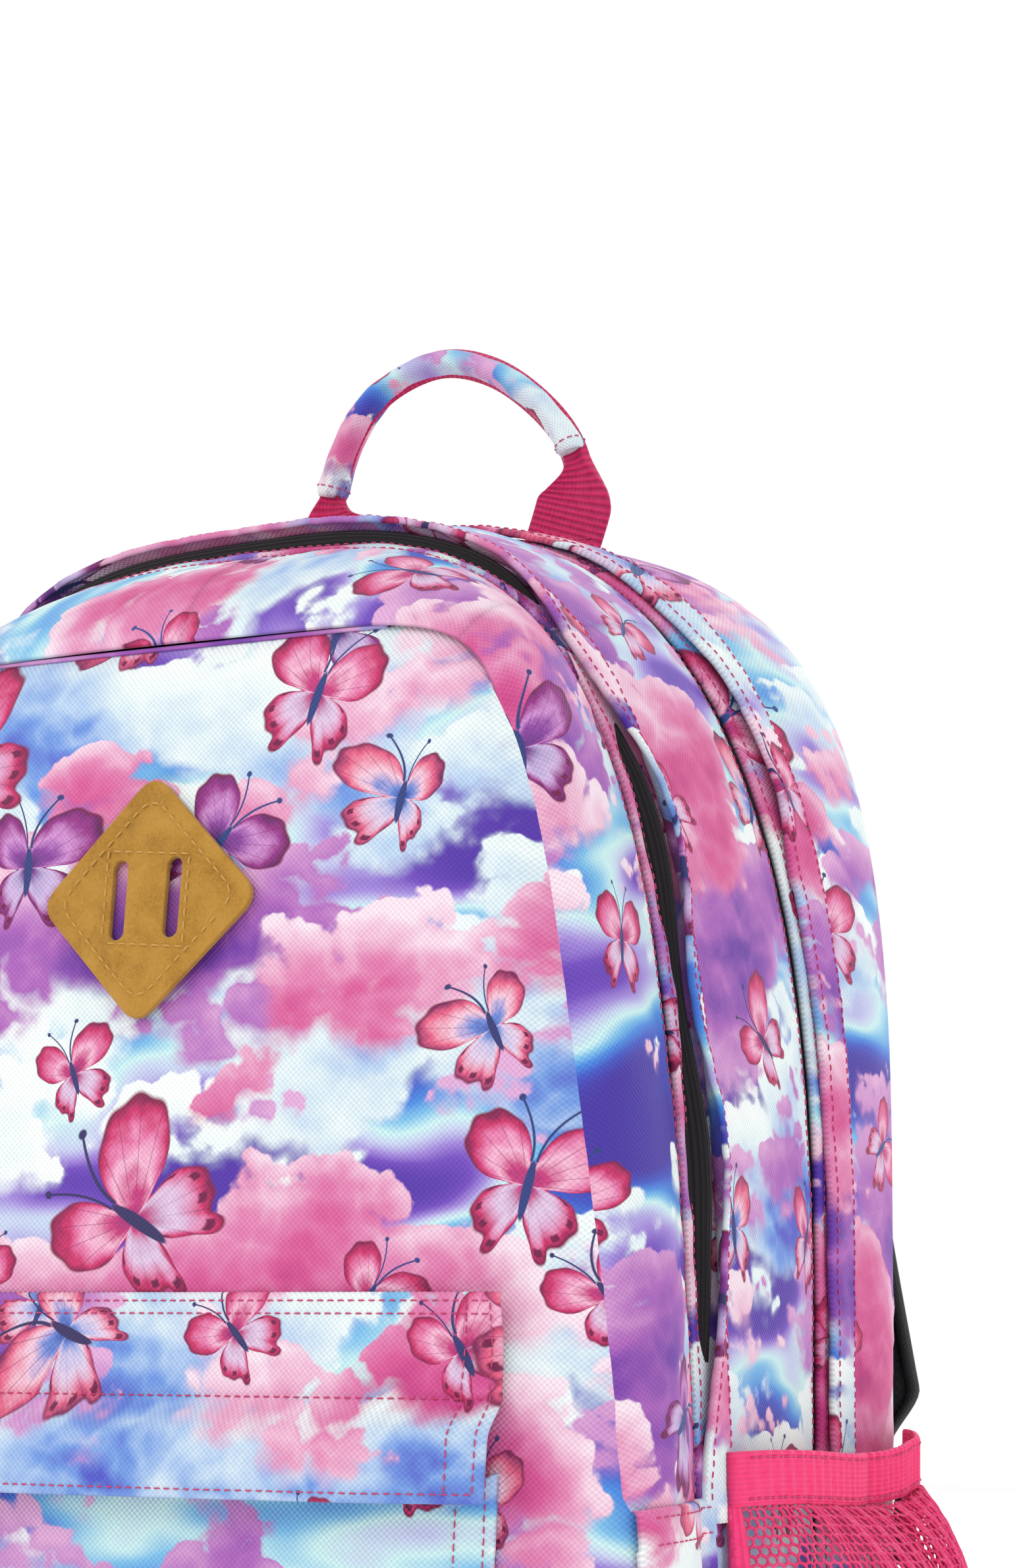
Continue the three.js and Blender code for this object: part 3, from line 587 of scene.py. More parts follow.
def cloud_layer(g, p, under, threshold, colours, shift):
    """One layer of clouds over a colour: lit tops with crisp edges, and soft undersides."""
    here = g.vector("ADD", p, (*shift, 0))
    body = cloud_height(g, here)
    above = cloud_height(g, g.vector("ADD", here, (1.0, 4.0, 0)))
    lit = g.math("MULTIPLY_ADD", g.math("SUBTRACT", body, above), 4.5, 0.5, clamp=True)
    thick = g.smooth(body, threshold, threshold + 0.3)
    wash = g.noise(here, 1 / 70, 2)
    tone = g.math("ADD", g.math("MULTIPLY", lit, 0.55), g.math("MULTIPLY", thick, -0.4))
    tone = g.math("ADD", g.math("MULTIPLY_ADD", wash, 1.1, -0.08), tone, clamp=True)
    soft = g.math("MULTIPLY_ADD", g.smooth(lit, 0.75, 0.3), 0.11, 0.016)
    mask = g.smooth(body, threshold, g.math("ADD", threshold, soft))
    return g.mix(mask, under, g.ramp(tone, colours))


def wing_outline():
    """A wing pair's outline: reach against angle, from straight down (0) to straight up (1)."""
    points = []
    for angle in range(-90, 91, 5):
        lobe = lambda centre, half: math.cos(math.pi / 2 * min(1, abs(angle - centre) / half))
        upper = 1.0 * max(0, lobe(40, 47)) ** 0.52
        lower = 0.78 * max(0, lobe(-48, 43)) ** 0.45
        tail = 0.24 * math.exp(-(((angle + 68) / 6) ** 2))
        points.append((angle / 180 + 0.5, min(1, max(upper, lower + tail, 0.1))))
    return points


WING = wing_outline()


def butterflies(g, p, under, cell, size, share, seed, tint):
    """Stamps one butterfly in a share of a staggered grid's cells. size is its reach, as a share
    of a cell, and tint is the share of rose wings."""
    q = g.vector("ADD", g.vector("SCALE", p, scale=1 / cell), (seed * 0.37, seed * 0.71, 0))
    x, y, _ = g.split(q)
    row = g.math("FLOOR", y)
    x = g.math("MULTIPLY_ADD", g.math("FRACT", g.math("MULTIPLY", row, 0.5)), 1.0, x)
    key = g.join(g.math("FLOOR", x), row, seed * 3.1)
    dice = g.node("ShaderNodeTexWhiteNoise", {"Vector": key}, noise_dimensions="3D")
    d1, d2, d3 = g.split(dice.outputs["Color"])
    d4 = dice.outputs["Value"]
    local_x, local_y = (g.math("SUBTRACT", g.math("FRACT", v), 0.5) for v in (x, y))
    local = g.join(local_x, local_y)
    jitter = g.join(g.math("MULTIPLY_ADD", d1, 0.2, -0.1), g.math("MULTIPLY_ADD", d2, 0.24, -0.12))
    spin = g.node("ShaderNodeVectorRotate", rotation_type="Z_AXIS")
    g.set(spin.inputs["Vector"], g.vector("SUBTRACT", local, jitter))
    g.set(spin.inputs["Angle"], g.math("MULTIPLY_ADD", d3, 2.4, -1.2))
    grow = g.math("DIVIDE", 1.0, g.math("MULTIPLY", size, g.math("MULTIPLY_ADD", d4, 0.32, 0.7)))
    lx, ly, _ = g.split(g.vector("SCALE", spin.outputs[0], scale=grow))
    # A butterfly seen a little from one side has one pair of wings narrower than the other.
    lean = g.math("MULTIPLY_ADD", g.math("SIGN", lx), g.math("MULTIPLY_ADD", d2, 0.8, -0.4), 1.0)
    ax = g.math("MULTIPLY", g.math("ABSOLUTE", lx), lean)
    radius = g.math("SQRT", g.math("ADD", g.math("MULTIPLY", ax, ax), g.math("MULTIPLY", ly, ly)))
    turn = g.math("MULTIPLY_ADD", g.math("ARCTAN2", ly, ax), 1 / math.pi, 0.5)
    reach = g.curve(turn, WING)
    scallop = g.math("MULTIPLY_ADD", g.math("SINE", g.math("MULTIPLY", turn, 64)), 0.018, 1.0)
    reach = g.math("MULTIPLY", reach, scallop)
    mask = g.math("MULTIPLY", g.math("SUBTRACT", reach, radius), 28, clamp=True)
    depth = g.math("DIVIDE", radius, reach)

    wash = g.noise(p, 1 / 7, 3, 0.6)
    tone = g.math("MULTIPLY_ADD", g.math("SUBTRACT", wash, 0.5), 0.42, depth)
    rose = g.ramp(tone, (
        (0.0, (136, 28, 108)), (0.22, (200, 58, 124)), (0.48, (240, 180, 206)),
        (0.66, (226, 120, 168)), (0.84, (202, 42, 102)), (1.0, (132, 20, 78)),
    ))
    violet = g.ramp(tone, (
        (0.0, (70, 34, 110)), (0.3, (140, 66, 160)), (0.55, (205, 140, 205)),
        (0.8, (150, 45, 135)), (1.0, (92, 24, 92)),
    ))
    blue = g.ramp(tone, (
        (0.0, (38, 66, 158)), (0.25, (110, 140, 214)), (0.5, (240, 196, 214)),
        (0.8, (226, 92, 130)), (1.0, (120, 30, 92)),
    ))
    wing = g.mix(g.math("GREATER_THAN", d4, tint), rose, violet)
    wing = g.mix(g.math("GREATER_THAN", d2, 0.74), wing, blue)
    vein = g.math("ABSOLUTE", g.math("SINE", g.math("MULTIPLY", turn, 36)))
    vein = g.smooth(g.math("MULTIPLY", vein, radius), 0.085, 0.03)
    vein = g.math("MULTIPLY", vein, g.smooth(depth, 0.12, 0.3))
    wing = g.mix(g.math("MULTIPLY", vein, 0.5), wing, srgb((128, 20, 84)))
    rim = g.math("MULTIPLY", g.smooth(depth, 0.9, 0.97), 0.75)
    wing = g.mix(rim, wing, srgb((122, 18, 66)))
    beads = g.smooth(g.math("SINE", g.math("MULTIPLY", turn, 64)), 0.1, 0.6)
    band = g.math("MULTIPLY", g.smooth(depth, 0.76, 0.8), g.smooth(depth, 0.9, 0.86))
    low = g.math("LESS_THAN", turn, 0.47)
    pale = g.math("MULTIPLY", g.smooth(depth, 0.86, 0.5), g.smooth(depth, 0.1, 0.35))
    wing = g.mix(g.math("MULTIPLY", g.math("MULTIPLY", pale, low), 0.55), wing, srgb((206, 206, 236)))
    wing = g.mix(g.math("MULTIPLY", g.math("MULTIPLY", beads, band), low), wing, srgb((112, 14, 70)))
    colour = g.mix(mask, under, wing)

    bx = g.math("POWER", g.math("DIVIDE", ax, 0.06), 2.0)
    by = g.math("POWER", g.math("DIVIDE", g.math("ADD", ly, 0.06), 0.36), 2.0)
    body = g.math("MULTIPLY", g.math("SUBTRACT", 1.0, g.math("ADD", bx, by)), 4, clamp=True)
    reach_y = g.math("SUBTRACT", ly, 0.26)
    feeler = g.math("MULTIPLY_ADD", g.math("MULTIPLY", reach_y, reach_y), 0.62, 0.03)
    line = g.smooth(g.math("ABSOLUTE", g.math("SUBTRACT", ax, feeler)), 0.022, 0.008)
    window = g.math("MULTIPLY", g.math("GREATER_THAN", ly, 0.26), g.math("LESS_THAN", ly, 0.92))
    line = g.math("MULTIPLY", line, window)
    club = g.vector("LENGTH", g.vector("SUBTRACT", g.join(ax, ly), (0.3, 0.92, 0)))
    dark = g.math("MAXIMUM", g.math("MAXIMUM", body, line), g.smooth(club, 0.05, 0.03))
    colour = g.mix(dark, colour, g.ramp(d3, ((0, (52, 40, 92)), (1, (36, 70, 140)))))
    shown = g.math("LESS_THAN", g.math("FRACT", g.math("MULTIPLY", d4, 7.3)), share)
    return g.mix(shown, under, colour)


def print_group():
    """The printed picture: a watercolour sky with generic clouds and butterflies."""
    tree = bpy.data.node_groups.new("print", "ShaderNodeTree")
    tree.interface.new_socket("Place", in_out="INPUT", socket_type="NodeSocketVector")
    tree.interface.new_socket("Colour", in_out="OUTPUT", socket_type="NodeSocketColor")
    g = Graph(tree)
    p = g.node("NodeGroupInput").outputs[0]
    sky_tone = g.noise(g.vector("MULTIPLY", p, (1 / 120, 1 / 52, 0)), 1.0, 2.5, 0.45)
    sky = g.ramp(g.smooth(sky_tone, 0.3, 0.7), (
        (0.0, (66, 44, 160)), (0.16, (60, 84, 194)), (0.32, (70, 136, 220)), (0.46, (124, 190, 230)),
        (0.58, (200, 236, 236)), (0.68, (196, 206, 234)), (0.8, (160, 134, 214)), (0.9, (112, 70, 186)),
        (1.0, (80, 44, 164)),
    ))
    white = (
        (0.0, (78, 84, 196)), (0.18, (112, 152, 222)), (0.36, (176, 202, 234)),
        (0.56, (214, 230, 238)), (0.75, (232, 243, 243)), (1.0, (244, 249, 247)),
    )
    pink = (
        (0.0, (150, 20, 112)), (0.2, (190, 44, 124)), (0.42, (212, 84, 146)),
        (0.62, (222, 130, 176)), (0.8, (234, 182, 208)), (1.0, (244, 222, 234)),
    )
    plum = (
        (0.0, (70, 30, 140)), (0.3, (112, 54, 164)), (0.6, (172, 98, 184)), (1.0, (222, 168, 212)),
    )
    sky = cloud_layer(g, p, sky, 0.64, white, (310, 40))
    sky = cloud_layer(g, p, sky, 0.775, plum, (-140, 260))
    sky = cloud_layer(g, p, sky, 0.755, pink, (60, -90))
    colour = butterflies(g, p, sky, 58, 0.34, 0.85, 1.0, 0.72)
    colour = butterflies(g, p, colour, 125, 0.24, 0.45, 5.0, 0.85)
    out = g.node("NodeGroupOutput")
    g.set(out.inputs[0], colour)
    return tree


def wave(g, x, pitch):
    return g.math("SINE", g.math("MULTIPLY", x, 2 * math.pi / pitch))


def weave(g, p, pitch):
    """A plain weave's height, from 0 to 1, with p in millimetres."""
    x, y, _ = g.split(p)
    a, b = wave(g, x, pitch), wave(g, y, pitch)
    return g.math("MULTIPLY_ADD", g.math("MULTIPLY", a, b), 0.5, 0.5)


def printed_cloth():
    material, g, shader = new_material("printed_polyester")
    place = g.place_mm("UV")
    picture = g.node("ShaderNodeGroup", node_tree=print_group())
    g.set(picture.inputs[0], place)
    threads = weave(g, place, 1.5)
    wear = g.noise(place, 1 / 2.2, 4, 0.7)
    shade = g.math("MULTIPLY_ADD", threads, 0.26, 0.8)
    shade = g.math("MULTIPLY", shade, g.math("MULTIPLY_ADD", wear, 0.08, 0.96))
    g.set(shader.inputs["Base Color"], g.shaded(picture.outputs[0], shade))
    g.set(shader.inputs["Roughness"], g.math("MULTIPLY_ADD", wear, 0.15, 0.55))
    shader.inputs["Specular IOR Level"].default_value = 0.35
    shader.inputs["Sheen Weight"].default_value = 0.08
    bump(g, shader, g.math("MULTIPLY_ADD", wear, 0.2, threads), 0.00025, 0.8)
    return material


def woven(name, rgb, pitch, roughness, ribs=False, contrast=0.35, second=None, weft=0.12):
    """A plain-coloured cloth: a weave, or ribs that run along v. second is the colour it varies to."""
    material, g, shader = new_material(name)
    place = g.place_mm("UV")
    x, y, _ = g.split(place)
    if ribs:
        rib = g.math("MULTIPLY_ADD", wave(g, x, pitch), 0.5, 0.5)
        height = g.math("MULTIPLY_ADD", wave(g, y, pitch * 0.7), weft, rib)
    else:
        height = weave(g, place, pitch)
    wear = g.noise(place, 1 / 3.0, 4, 0.7)
    shade = g.math("MULTIPLY_ADD", height, contrast, 1 - contrast * 0.6)
    shade = g.math("MULTIPLY", shade, g.math("MULTIPLY_ADD", wear, 0.2, 0.9))
    base = g.mix(g.smooth(wear, 0.4, 0.7), srgb(rgb), srgb(second or rgb))
    g.set(shader.inputs["Base Color"], g.shaded(base, shade))
    g.set(shader.inputs["Roughness"], g.math("MULTIPLY_ADD", wear, 0.12, roughness - 0.06))
    shader.inputs["Specular IOR Level"].default_value = 0.3
    shader.inputs["Sheen Weight"].default_value = 0.1
    bump(g, shader, height, 0.0003, 0.9)
    return material


def object_cloth(name, rgb, pitch):
    """Cloth on a carried-over CAD node, which has no UVs."""
    material, g, shader = new_material(name)
    place = g.place_mm("Object")
    x, y, z = g.split(place)
    flat = g.join(g.math("ADD", x, y), z)
    height = weave(g, flat, pitch)
    wear = g.noise(flat, 1 / 3.0, 4, 0.7)
    shade = g.math("MULTIPLY_ADD", height, 0.3, 0.8)
    shade = g.math("MULTIPLY", shade, g.math("MULTIPLY_ADD", wear, 0.3, 0.85))
    g.set(shader.inputs["Base Color"], g.shaded(srgb(rgb), shade))
    shader.inputs["Roughness"].default_value = 0.85
    bump(g, shader, height, 0.0002, 0.8)
    return material


def suede():
    material, g, shader = new_material("tan_suede")
    place = g.place_mm("Object")
    grain_inputs = {"Vector": place, "Scale": 1.5, "Detail": 5.0, "Roughness": 0.75}
    grain = g.node("ShaderNodeTexNoise", grain_inputs)
    blotch = g.node("ShaderNodeTexNoise", {"Vector": place, "Scale": 0.12, "Detail": 3.0})
    tone = g.math("MULTIPLY_ADD", grain.outputs[0], 0.55, g.math("MULTIPLY", blotch.outputs[0], 0.45))
    g.set(shader.inputs["Base Color"], g.ramp(g.smooth(tone, 0.3, 0.7), (
        (0.0, (150, 106, 36)), (0.45, (174, 127, 48)), (1.0, (188, 142, 62)),
    )))
    shader.inputs["Roughness"].default_value = 0.88
    shader.inputs["Specular IOR Level"].default_value = 0.2
    shader.inputs["Sheen Weight"].default_value = 0.15
    bump(g, shader, grain.outputs[0], 0.0003, 0.8)
    return material


def hard(name, rgb, roughness, metallic=0.0, grain=1.2):
    material, g, shader = new_material(name)
    place = g.place_mm("Object")
    spot_inputs = {"Vector": place, "Scale": grain, "Detail": 4.0, "Roughness": 0.65}
    spots = g.node("ShaderNodeTexNoise", spot_inputs)
    lighter = tuple(min(255, v + 22) for v in rgb)
    base = g.mix(g.smooth(spots.outputs[0], 0.3, 0.8), srgb(rgb), srgb(lighter))
    g.set(shader.inputs["Base Color"], base)
    g.set(shader.inputs["Roughness"], g.math("MULTIPLY_ADD", spots.outputs[0], 0.25, roughness - 0.12))
    shader.inputs["Metallic"].default_value = metallic
    bump(g, shader, spots.outputs[0], 0.0001, 0.4)
    return material


M = {
    "print": printed_cloth(),
    "thread": woven("pink_thread", (196, 62, 112), 0.5, 0.6, ribs=True),
    "tan_thread": woven("tan_thread", (196, 152, 74), 0.5, 0.65, ribs=True),
    "black_thread": woven("black_thread", (26, 24, 28), 0.5, 0.6, ribs=True),
    "tape": woven("zip_tape", (20, 14, 19), 1.0, 0.75, ribs=True, contrast=0.5),
    "webbing": woven(
        "magenta_webbing", (196, 28, 92), 1.9, 0.6, ribs=True, contrast=0.45, second=(180, 12, 78),
    ),
    "elastic": woven(
        "pink_elastic", (246, 62, 124), 1.3, 0.65,
        ribs=True, contrast=0.1, second=(238, 50, 114), weft=0.02,
    ),
    "mesh": woven("pink_mesh", (244, 58, 122), 0.9, 0.6, contrast=0.12, second=(250, 86, 142)),
    "black": woven("black_cloth", (17, 17, 20), 1.2, 0.8, contrast=0.6, second=(24, 24, 28)),
    "black_webbing": woven("black_webbing", (18, 18, 21), 1.7, 0.65, ribs=True, contrast=0.6),
    "air_mesh": woven("air_mesh", (22, 22, 26), 2.6, 0.9, contrast=0.8, second=(30, 30, 34)),
    "lining": object_cloth("lining_cloth", (44, 44, 50), 1.0),
    "suede": suede(),
    "plastic": hard("black_plastic", (20, 20, 22), 0.45),
    "metal": hard("zip_paint", (22, 22, 24), 0.38, 0.6, 2.0),
    "coil": hard("coil_plastic", (16, 14, 17), 0.42, 0.0, 2.0),
    "board": hard("board_plastic", (38, 38, 40), 0.6),
}


# ------------------------------------------------------------------ walls
FRONT_CROWN, BACK_CROWN = 9.0, 6.0


def crown(loop, x, z):
    across = x / np.maximum(1, loop.half_width(z))
    up = np.where(z > MID, (z - MID) / (loop.top - MID), (MID - z) / MID)
    return np.maximum(0, 1 - across**4) * np.maximum(0, 1 - up**2)


def front_face(x, z):
    return FRONT_SEAM.depth(z) - CLOTH - GAP - FRONT_CROWN * crown(FRONT_SEAM, x, z)


def rings_of(loop, inset, count, steps):
    """Rings of points (x, z) that fill a seam loop, and each ring's distance from the rim."""
    rim = loop.place(np.arange(steps) / steps)[:, [0, 2]] - [0, MID]
    reach = np.linalg.norm(rim, axis=1, keepdims=True)
    rim = rim * (reach - inset) / reach
    share = 1 - (1 - np.linspace(0, 1, count)) ** 1.9
    points = share[:, None, None] * rim[None] + [0, MID]
    edge = (1 - share)[:, None] * np.linalg.norm(rim, axis=1)[None]
    return points[..., 0], points[..., 1], edge


def build_front_panel():
    x, z, edge = rings_of(FRONT_SEAM, 0.5, 64, 420)
    roll = 6.2 * np.exp(-((edge / 6.5) ** 1.3)) - 1.0 * np.exp(-(((edge - 13) / 8) ** 2))
    slack = 1.2 * ripple(x, z, 11, 95) + 0.45 * ripple(x, z, 12, 34)
    pucker = 0.6 * ripple(x, z, 13, 13) * np.exp(-edge / 9)
    y = front_face(x, z) + roll + (slack + pucker) * smooth_step(edge, 0, 12)
    near = np.stack([x, y, z], -1)
    far = near + np.array([0, CLOTH, 0])
    panel = Builder("front_panel_cloth")
    panel.disc(near, far, np.stack([x + 400, z], -1))
    piece = panel.build([M["print"]])
    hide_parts("front_panel")
    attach(piece, "bag")


def strip_surface(k, seed, seam_at=None):
    """The outer face's height over a gusset strip, as a function of (w, d).
    seam_at is the end, 0 or 1, where the strip turns into a sewn seam."""
    length = STRIP[k]

    def height(w, d):
        f = d - k
        run = run_length(w, d)
        across = f * length
        slack = 0.8 * ripple(run, across, seed, 70) + 0.3 * ripple(run, across, seed + 1, 30)
        out = CLOTH + slack * np.clip(4 * f * (1 - f), 0, 1)
        if k == 0:  # the zipped part tucks in behind the plain part's hem
            out = out - 1.6 * (1 - smooth_step(folded(w), W_ZIP_END - 0.006, W_ZIP_END + 0.001))
        for end in (0, 1):
            e = across if end == 0 else length - across
            if seam_at == end:
                e = e - (2 if k == 0 else 1)
                lid = smooth_step(folded(w), W_FRONT_LID - 0.03, W_FRONT_LID)
                sink = 5.6 - 3.2 * lid if k == 0 else 1.2
                out = out - sink * np.exp(-np.maximum(e, 0) / 5.5)
                pucker = 0.5 * ripple(run, across, seed + 5, 13) * np.exp(-e / 9)
                out = out + pucker * smooth_step(e, 0, 3)
            else:
                e = e - ZIP_HALF_GAP
                out = out + 0.5 * (1 - smooth_step(e, 6.2, 7.2))
                pucker = 0.3 * ripple(run, across, seed + 7 + end, 11) * np.exp(-e / 8)
                out = out + pucker * smooth_step(e, 0, 2)
                out = out - rounding(np.maximum(e, 0), 0.9)
        return out

    return height


def strip_piece(name, k, w0, w1, e0, e1, height, shift, hems, rows):
    """A cloth strip over shares w0..w1 and e0..e1 mm from station k. shift places it on the print,
    hems are its doubled edges and rows its stitched lines, in mm from station k."""
    ws = w_lines(w0, w1)[:, None]
    es = spaced(e0, e1)[None, :]
    ds = k + es / STRIP[k]
    w, d = np.broadcast_arrays(ws, ds)
    outer = skin(w, d, height(w, d))
    thick = np.full(w.shape, 1.2)
    for edge in hems:
        e = np.abs(es - edge) + 0 * w
        thick = thick + 0.7 * (1 - smooth_step(e, 6.2, 7.2)) - rounding(e, 0.9)
    inner = outer - skin_normal(w, d) * thick[..., None]
    uv = np.stack([(d - k) * STRIP[k] + shift[0], run_length(w, d) + shift[1]], -1)
    cloth = Builder(name)
    cloth.grid(outer, inner, uv)
    for e in rows:
        line_w = w_lines(min(w0, w1), max(w0, w1), 2.0)[2:-2]
        line_d = np.full_like(line_w, k + e / STRIP[k])
        path = skin(line_w, line_d, height(line_w, line_d) + 0.08)
        cloth.stitches(path, skin_normal(line_w, line_d))
    return cloth.build([M["print"], M["thread"]])


def build_gussets():
    front = strip_surface(0, 21, seam_at=0)
    shift = (562, 370)
    edge = STRIP[0] - ZIP_HALF_GAP
    rows = (edge - STITCH_INSET,)
    low = W_ZIP_END - 0.014
    ends = ((low, W_FRONT_LID, "right"), (1 - W_FRONT_LID, 1 - low, "left"))
    for w0, w1, side in ends:
        piece = strip_piece(f"front_gusset_{side}", 0, w0, w1, 2, edge, front, shift, (edge,), rows)
        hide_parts(f"front_zip_gusset_{side}")
        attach(piece, "bag")
    for w0, w1, side, sign in ((W_FRONT_LID, 0.5, "right", 1), (0.5, 1 - W_FRONT_LID, "left", -1)):
        piece = strip_piece(f"front_lid_{side}", 0, w0, w1, 2, edge, front, shift, (edge,), rows)
        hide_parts("front_mouth")
        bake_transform(piece)

    # A narrow strip joins the lid's edge to the front panel's rim.
    x, t = np.meshgrid(np.linspace(-60, 60, 50), np.linspace(0, 1, 6), indexing="ij")
    outer = np.stack([x, -68.0 - 2.4 * t, 389.0 + 0.4 * t], -1)
    tongue = Builder("front_lid_tongue")
    tongue.grid(outer, outer - [0, 0, 1.0], np.stack([x + shift[0], 5 * t + shift[1]], -1))
    piece = tongue.build([M["print"]])
    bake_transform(piece)

    main = strip_surface(1, 31)
    shift = (330, 570)
    start, end = ZIP_HALF_GAP, STRIP[1] - ZIP_HALF_GAP
    rows = (start + STITCH_INSET, end - STITCH_INSET)
    for w0, w1, side in ((W_BASE, W_MAIN_LID, "right"), (1 - W_MAIN_LID, 1 - W_BASE, "left")):
        piece = strip_piece(
            f"main_gusset_{side}", 1, w0, w1, start, end, main, shift, (start, end), rows,
        )
        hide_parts("main_gusset")
        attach(piece, "bag")
    fold = 0.25 * STRIP[1]
    piece = strip_piece(
        "main_gusset_bridge", 1, W_MAIN_LID, 1 - W_MAIN_LID, start, fold, main, shift,
        (start,), rows[:1],
    )
    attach(piece, "bag")
    for w0, w1, side, sign in ((W_MAIN_LID, 0.5, "right", 1), (0.5, 1 - W_MAIN_LID, "left", -1)):
        piece = strip_piece(f"main_lid_{side}", 1, w0, w1, fold, end, main, shift, (end,), rows[1:])
        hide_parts("main_mouth")
        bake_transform(piece)

    rear = strip_surface(2, 41, seam_at=1)
    piece = strip_piece(
        "rear_gusset_cloth", 2, W_BASE, 1 - W_BASE, ZIP_HALF_GAP, STRIP[2] - 1, rear, (1210, 130),
        (ZIP_HALF_GAP,), (ZIP_HALF_GAP + STITCH_INSET,),
    )
    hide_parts("rear_gusset")
    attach(piece, "bag")
    build_lower_gussets()


def build_lower_gussets():
    """The plain gusset under each end of the front zipper, with a doubled hem along its top."""
    for side, sign in (("right", 1), ("left", -1)):
        share = lambda w: w if sign > 0 else 1 - w
        top = W_ZIP_END - 0.002
        far_edge = STRIP[0] + 9
        ws = np.concatenate([np.linspace(W_BASE, top - 0.012, 60), np.linspace(top - 0.011, top, 22)])
        es = spaced(2, far_edge)
        w, e = np.meshgrid(ws, es, indexing="ij")

        def height(w, e):
            d = to_station(0, e)
            fold = folded(w)
            run = run_length(np.where(sign > 0, fold, 1 - fold), d)
            away = (top - fold) * SIDE_RUN
            out = 2.3 + 0.7 * ripple(run, e, 61, 60) * smooth_step(away, 0, 20)
            out = out + 0.55 * (1 - smooth_step(away, 9.5, 10.5)) - rounding(away, 1.0)
            out = out - 2.4 * np.exp(-(e - 2) / 2.4) - rounding(far_edge - e, 1.0)
            return out + 0.25 * ripple(run, e, 63, 10) * np.exp(-away / 12)

        d = to_station(0, e)
        outer = skin(share(w), d, height(share(w), e))
        inner = outer - skin_normal(share(w), d) * 1.6
        uv = np.stack([e + 260, run_length(share(w), d) - 180], -1)
        cloth = Builder(f"front_lower_cloth_{side}")
        cloth.grid(outer, inner, uv)
        for drop in (2.4, 9.0):
            line_e = np.linspace(3.5, STRIP[0] + 8, 60)
            line_w = np.full_like(line_e, share(top - drop / SIDE_RUN))
            line_d = to_station(0, line_e)
            path = skin(line_w, line_d, height(line_w, line_e) + 0.1)
            cloth.stitches(path, skin_normal(line_w, line_d))
        piece = cloth.build([M["print"], M["thread"]])
        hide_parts(f"front_lower_gusset_{side}")
        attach(piece, "bag")


def to_station(k, e):
    """Station for a distance in mm behind station k, running on into the next strip."""
    return np.where(e <= STRIP[k], k + e / STRIP[k], k + 1 + (e - STRIP[k]) / STRIP[k + 1])


COIL_PITCH = 1.25


def build_zippers():
    for name, k in (("front", 1), ("main", 2)):
        w0 = W_ZIP_END + 0.002
        ws = w_lines(w0, 1 - w0, 3.0)[:, None]
        es = np.linspace(-9, 9, 13)[None, :]
        d = k + np.where(es < 0, es / STRIP[k - 1], es / STRIP[k])
        w, d = np.broadcast_arrays(ws, d)
        # Behind the coil the tape climbs to the storm flap that it is sewn under. The black tape is real,
        # but where the flap lifts, the climbing tape also fills the opening under the flap: a black sheet
        # standing in for the shade there, so partly painted shade.
        tape_climb_into_shade = (flap_shape(name, w)[0] - 0.6) * smooth_step(es, 1.4, 8.0)
        outer = skin(w, d, -0.45 + tape_climb_into_shade)
        inner = skin(w, d, -1.5 + tape_climb_into_shade)
        tape = Builder(f"{name}_zip_tape")
        tape.grid(outer, inner, np.stack([es + 0 * w, run_length(w, d)], -1))
        piece = tape.build([M["tape"]])
        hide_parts(f"{name}_zipper_tape")
        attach(piece, "bag")

        ws = w_lines(w0, 1 - w0, 0.4)
        turns = np.arange(7) / 6 * math.pi
        run = run_length(ws, np.full_like(ws, k))
        tooth = 0.62 + 0.38 * np.abs(np.sin(run * math.pi / COIL_PITCH))
        radius, middle = 1.35, -0.1
        e = np.cos(turns)[None, :] * radius * (0.75 + 0.25 * tooth[:, None])
        rise = middle + np.sin(turns)[None, :] * radius * tooth[:, None]
        d = k + np.where(e < 0, e / STRIP[k - 1], e / STRIP[k])
        w = np.broadcast_to(ws[:, None], d.shape)
        coil = Builder(f"{name}_zip_coil")
        rings = skin(w, d, rise)
        coil.tube(rings, np.stack([e, np.broadcast_to(run[:, None], e.shape)], -1))
        piece = coil.build([M["coil"]])
        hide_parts(f"{name}_zipper_coil")
        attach(piece, "bag")


def flap_shape(name, w):
    """How far a storm flap's free edge lifts off the bag and how far back it sits, in mm."""
    z = FRONT_ZIP.place(w)[..., 2] if name == "front" else MAIN_ZIP.place(w)[..., 2]
    run = FRONT_ZIP.length_to(w)
    if name == "main":
        gap = smooth_step(z, 330, 352) * (1 - smooth_step(z, 380, 405))
        return 1.0 + 0.8 * ripple(run, 0 * run, 81, 55) + 2.0 * gap, 4.3 + 1.6 * gap
    top = smooth_step(z, 384, 410)
    side = smooth_step(z, 178, 225) * (1 - smooth_step(z, 345, 384))
    wave = ripple(run, 0 * run, 71, 62)
    lift = 0.9 + 4.6 * top + side * (4.4 + 1.8 * wave) + 0.5 * wave
    flat = 1 - smooth_step(z, 166, 186)
    return np.maximum(lift, 0.3) * (1 - flat) - 0.8 * flat, 4.3 + 1.2 * top + side * (4.2 + 2.0 * wave)


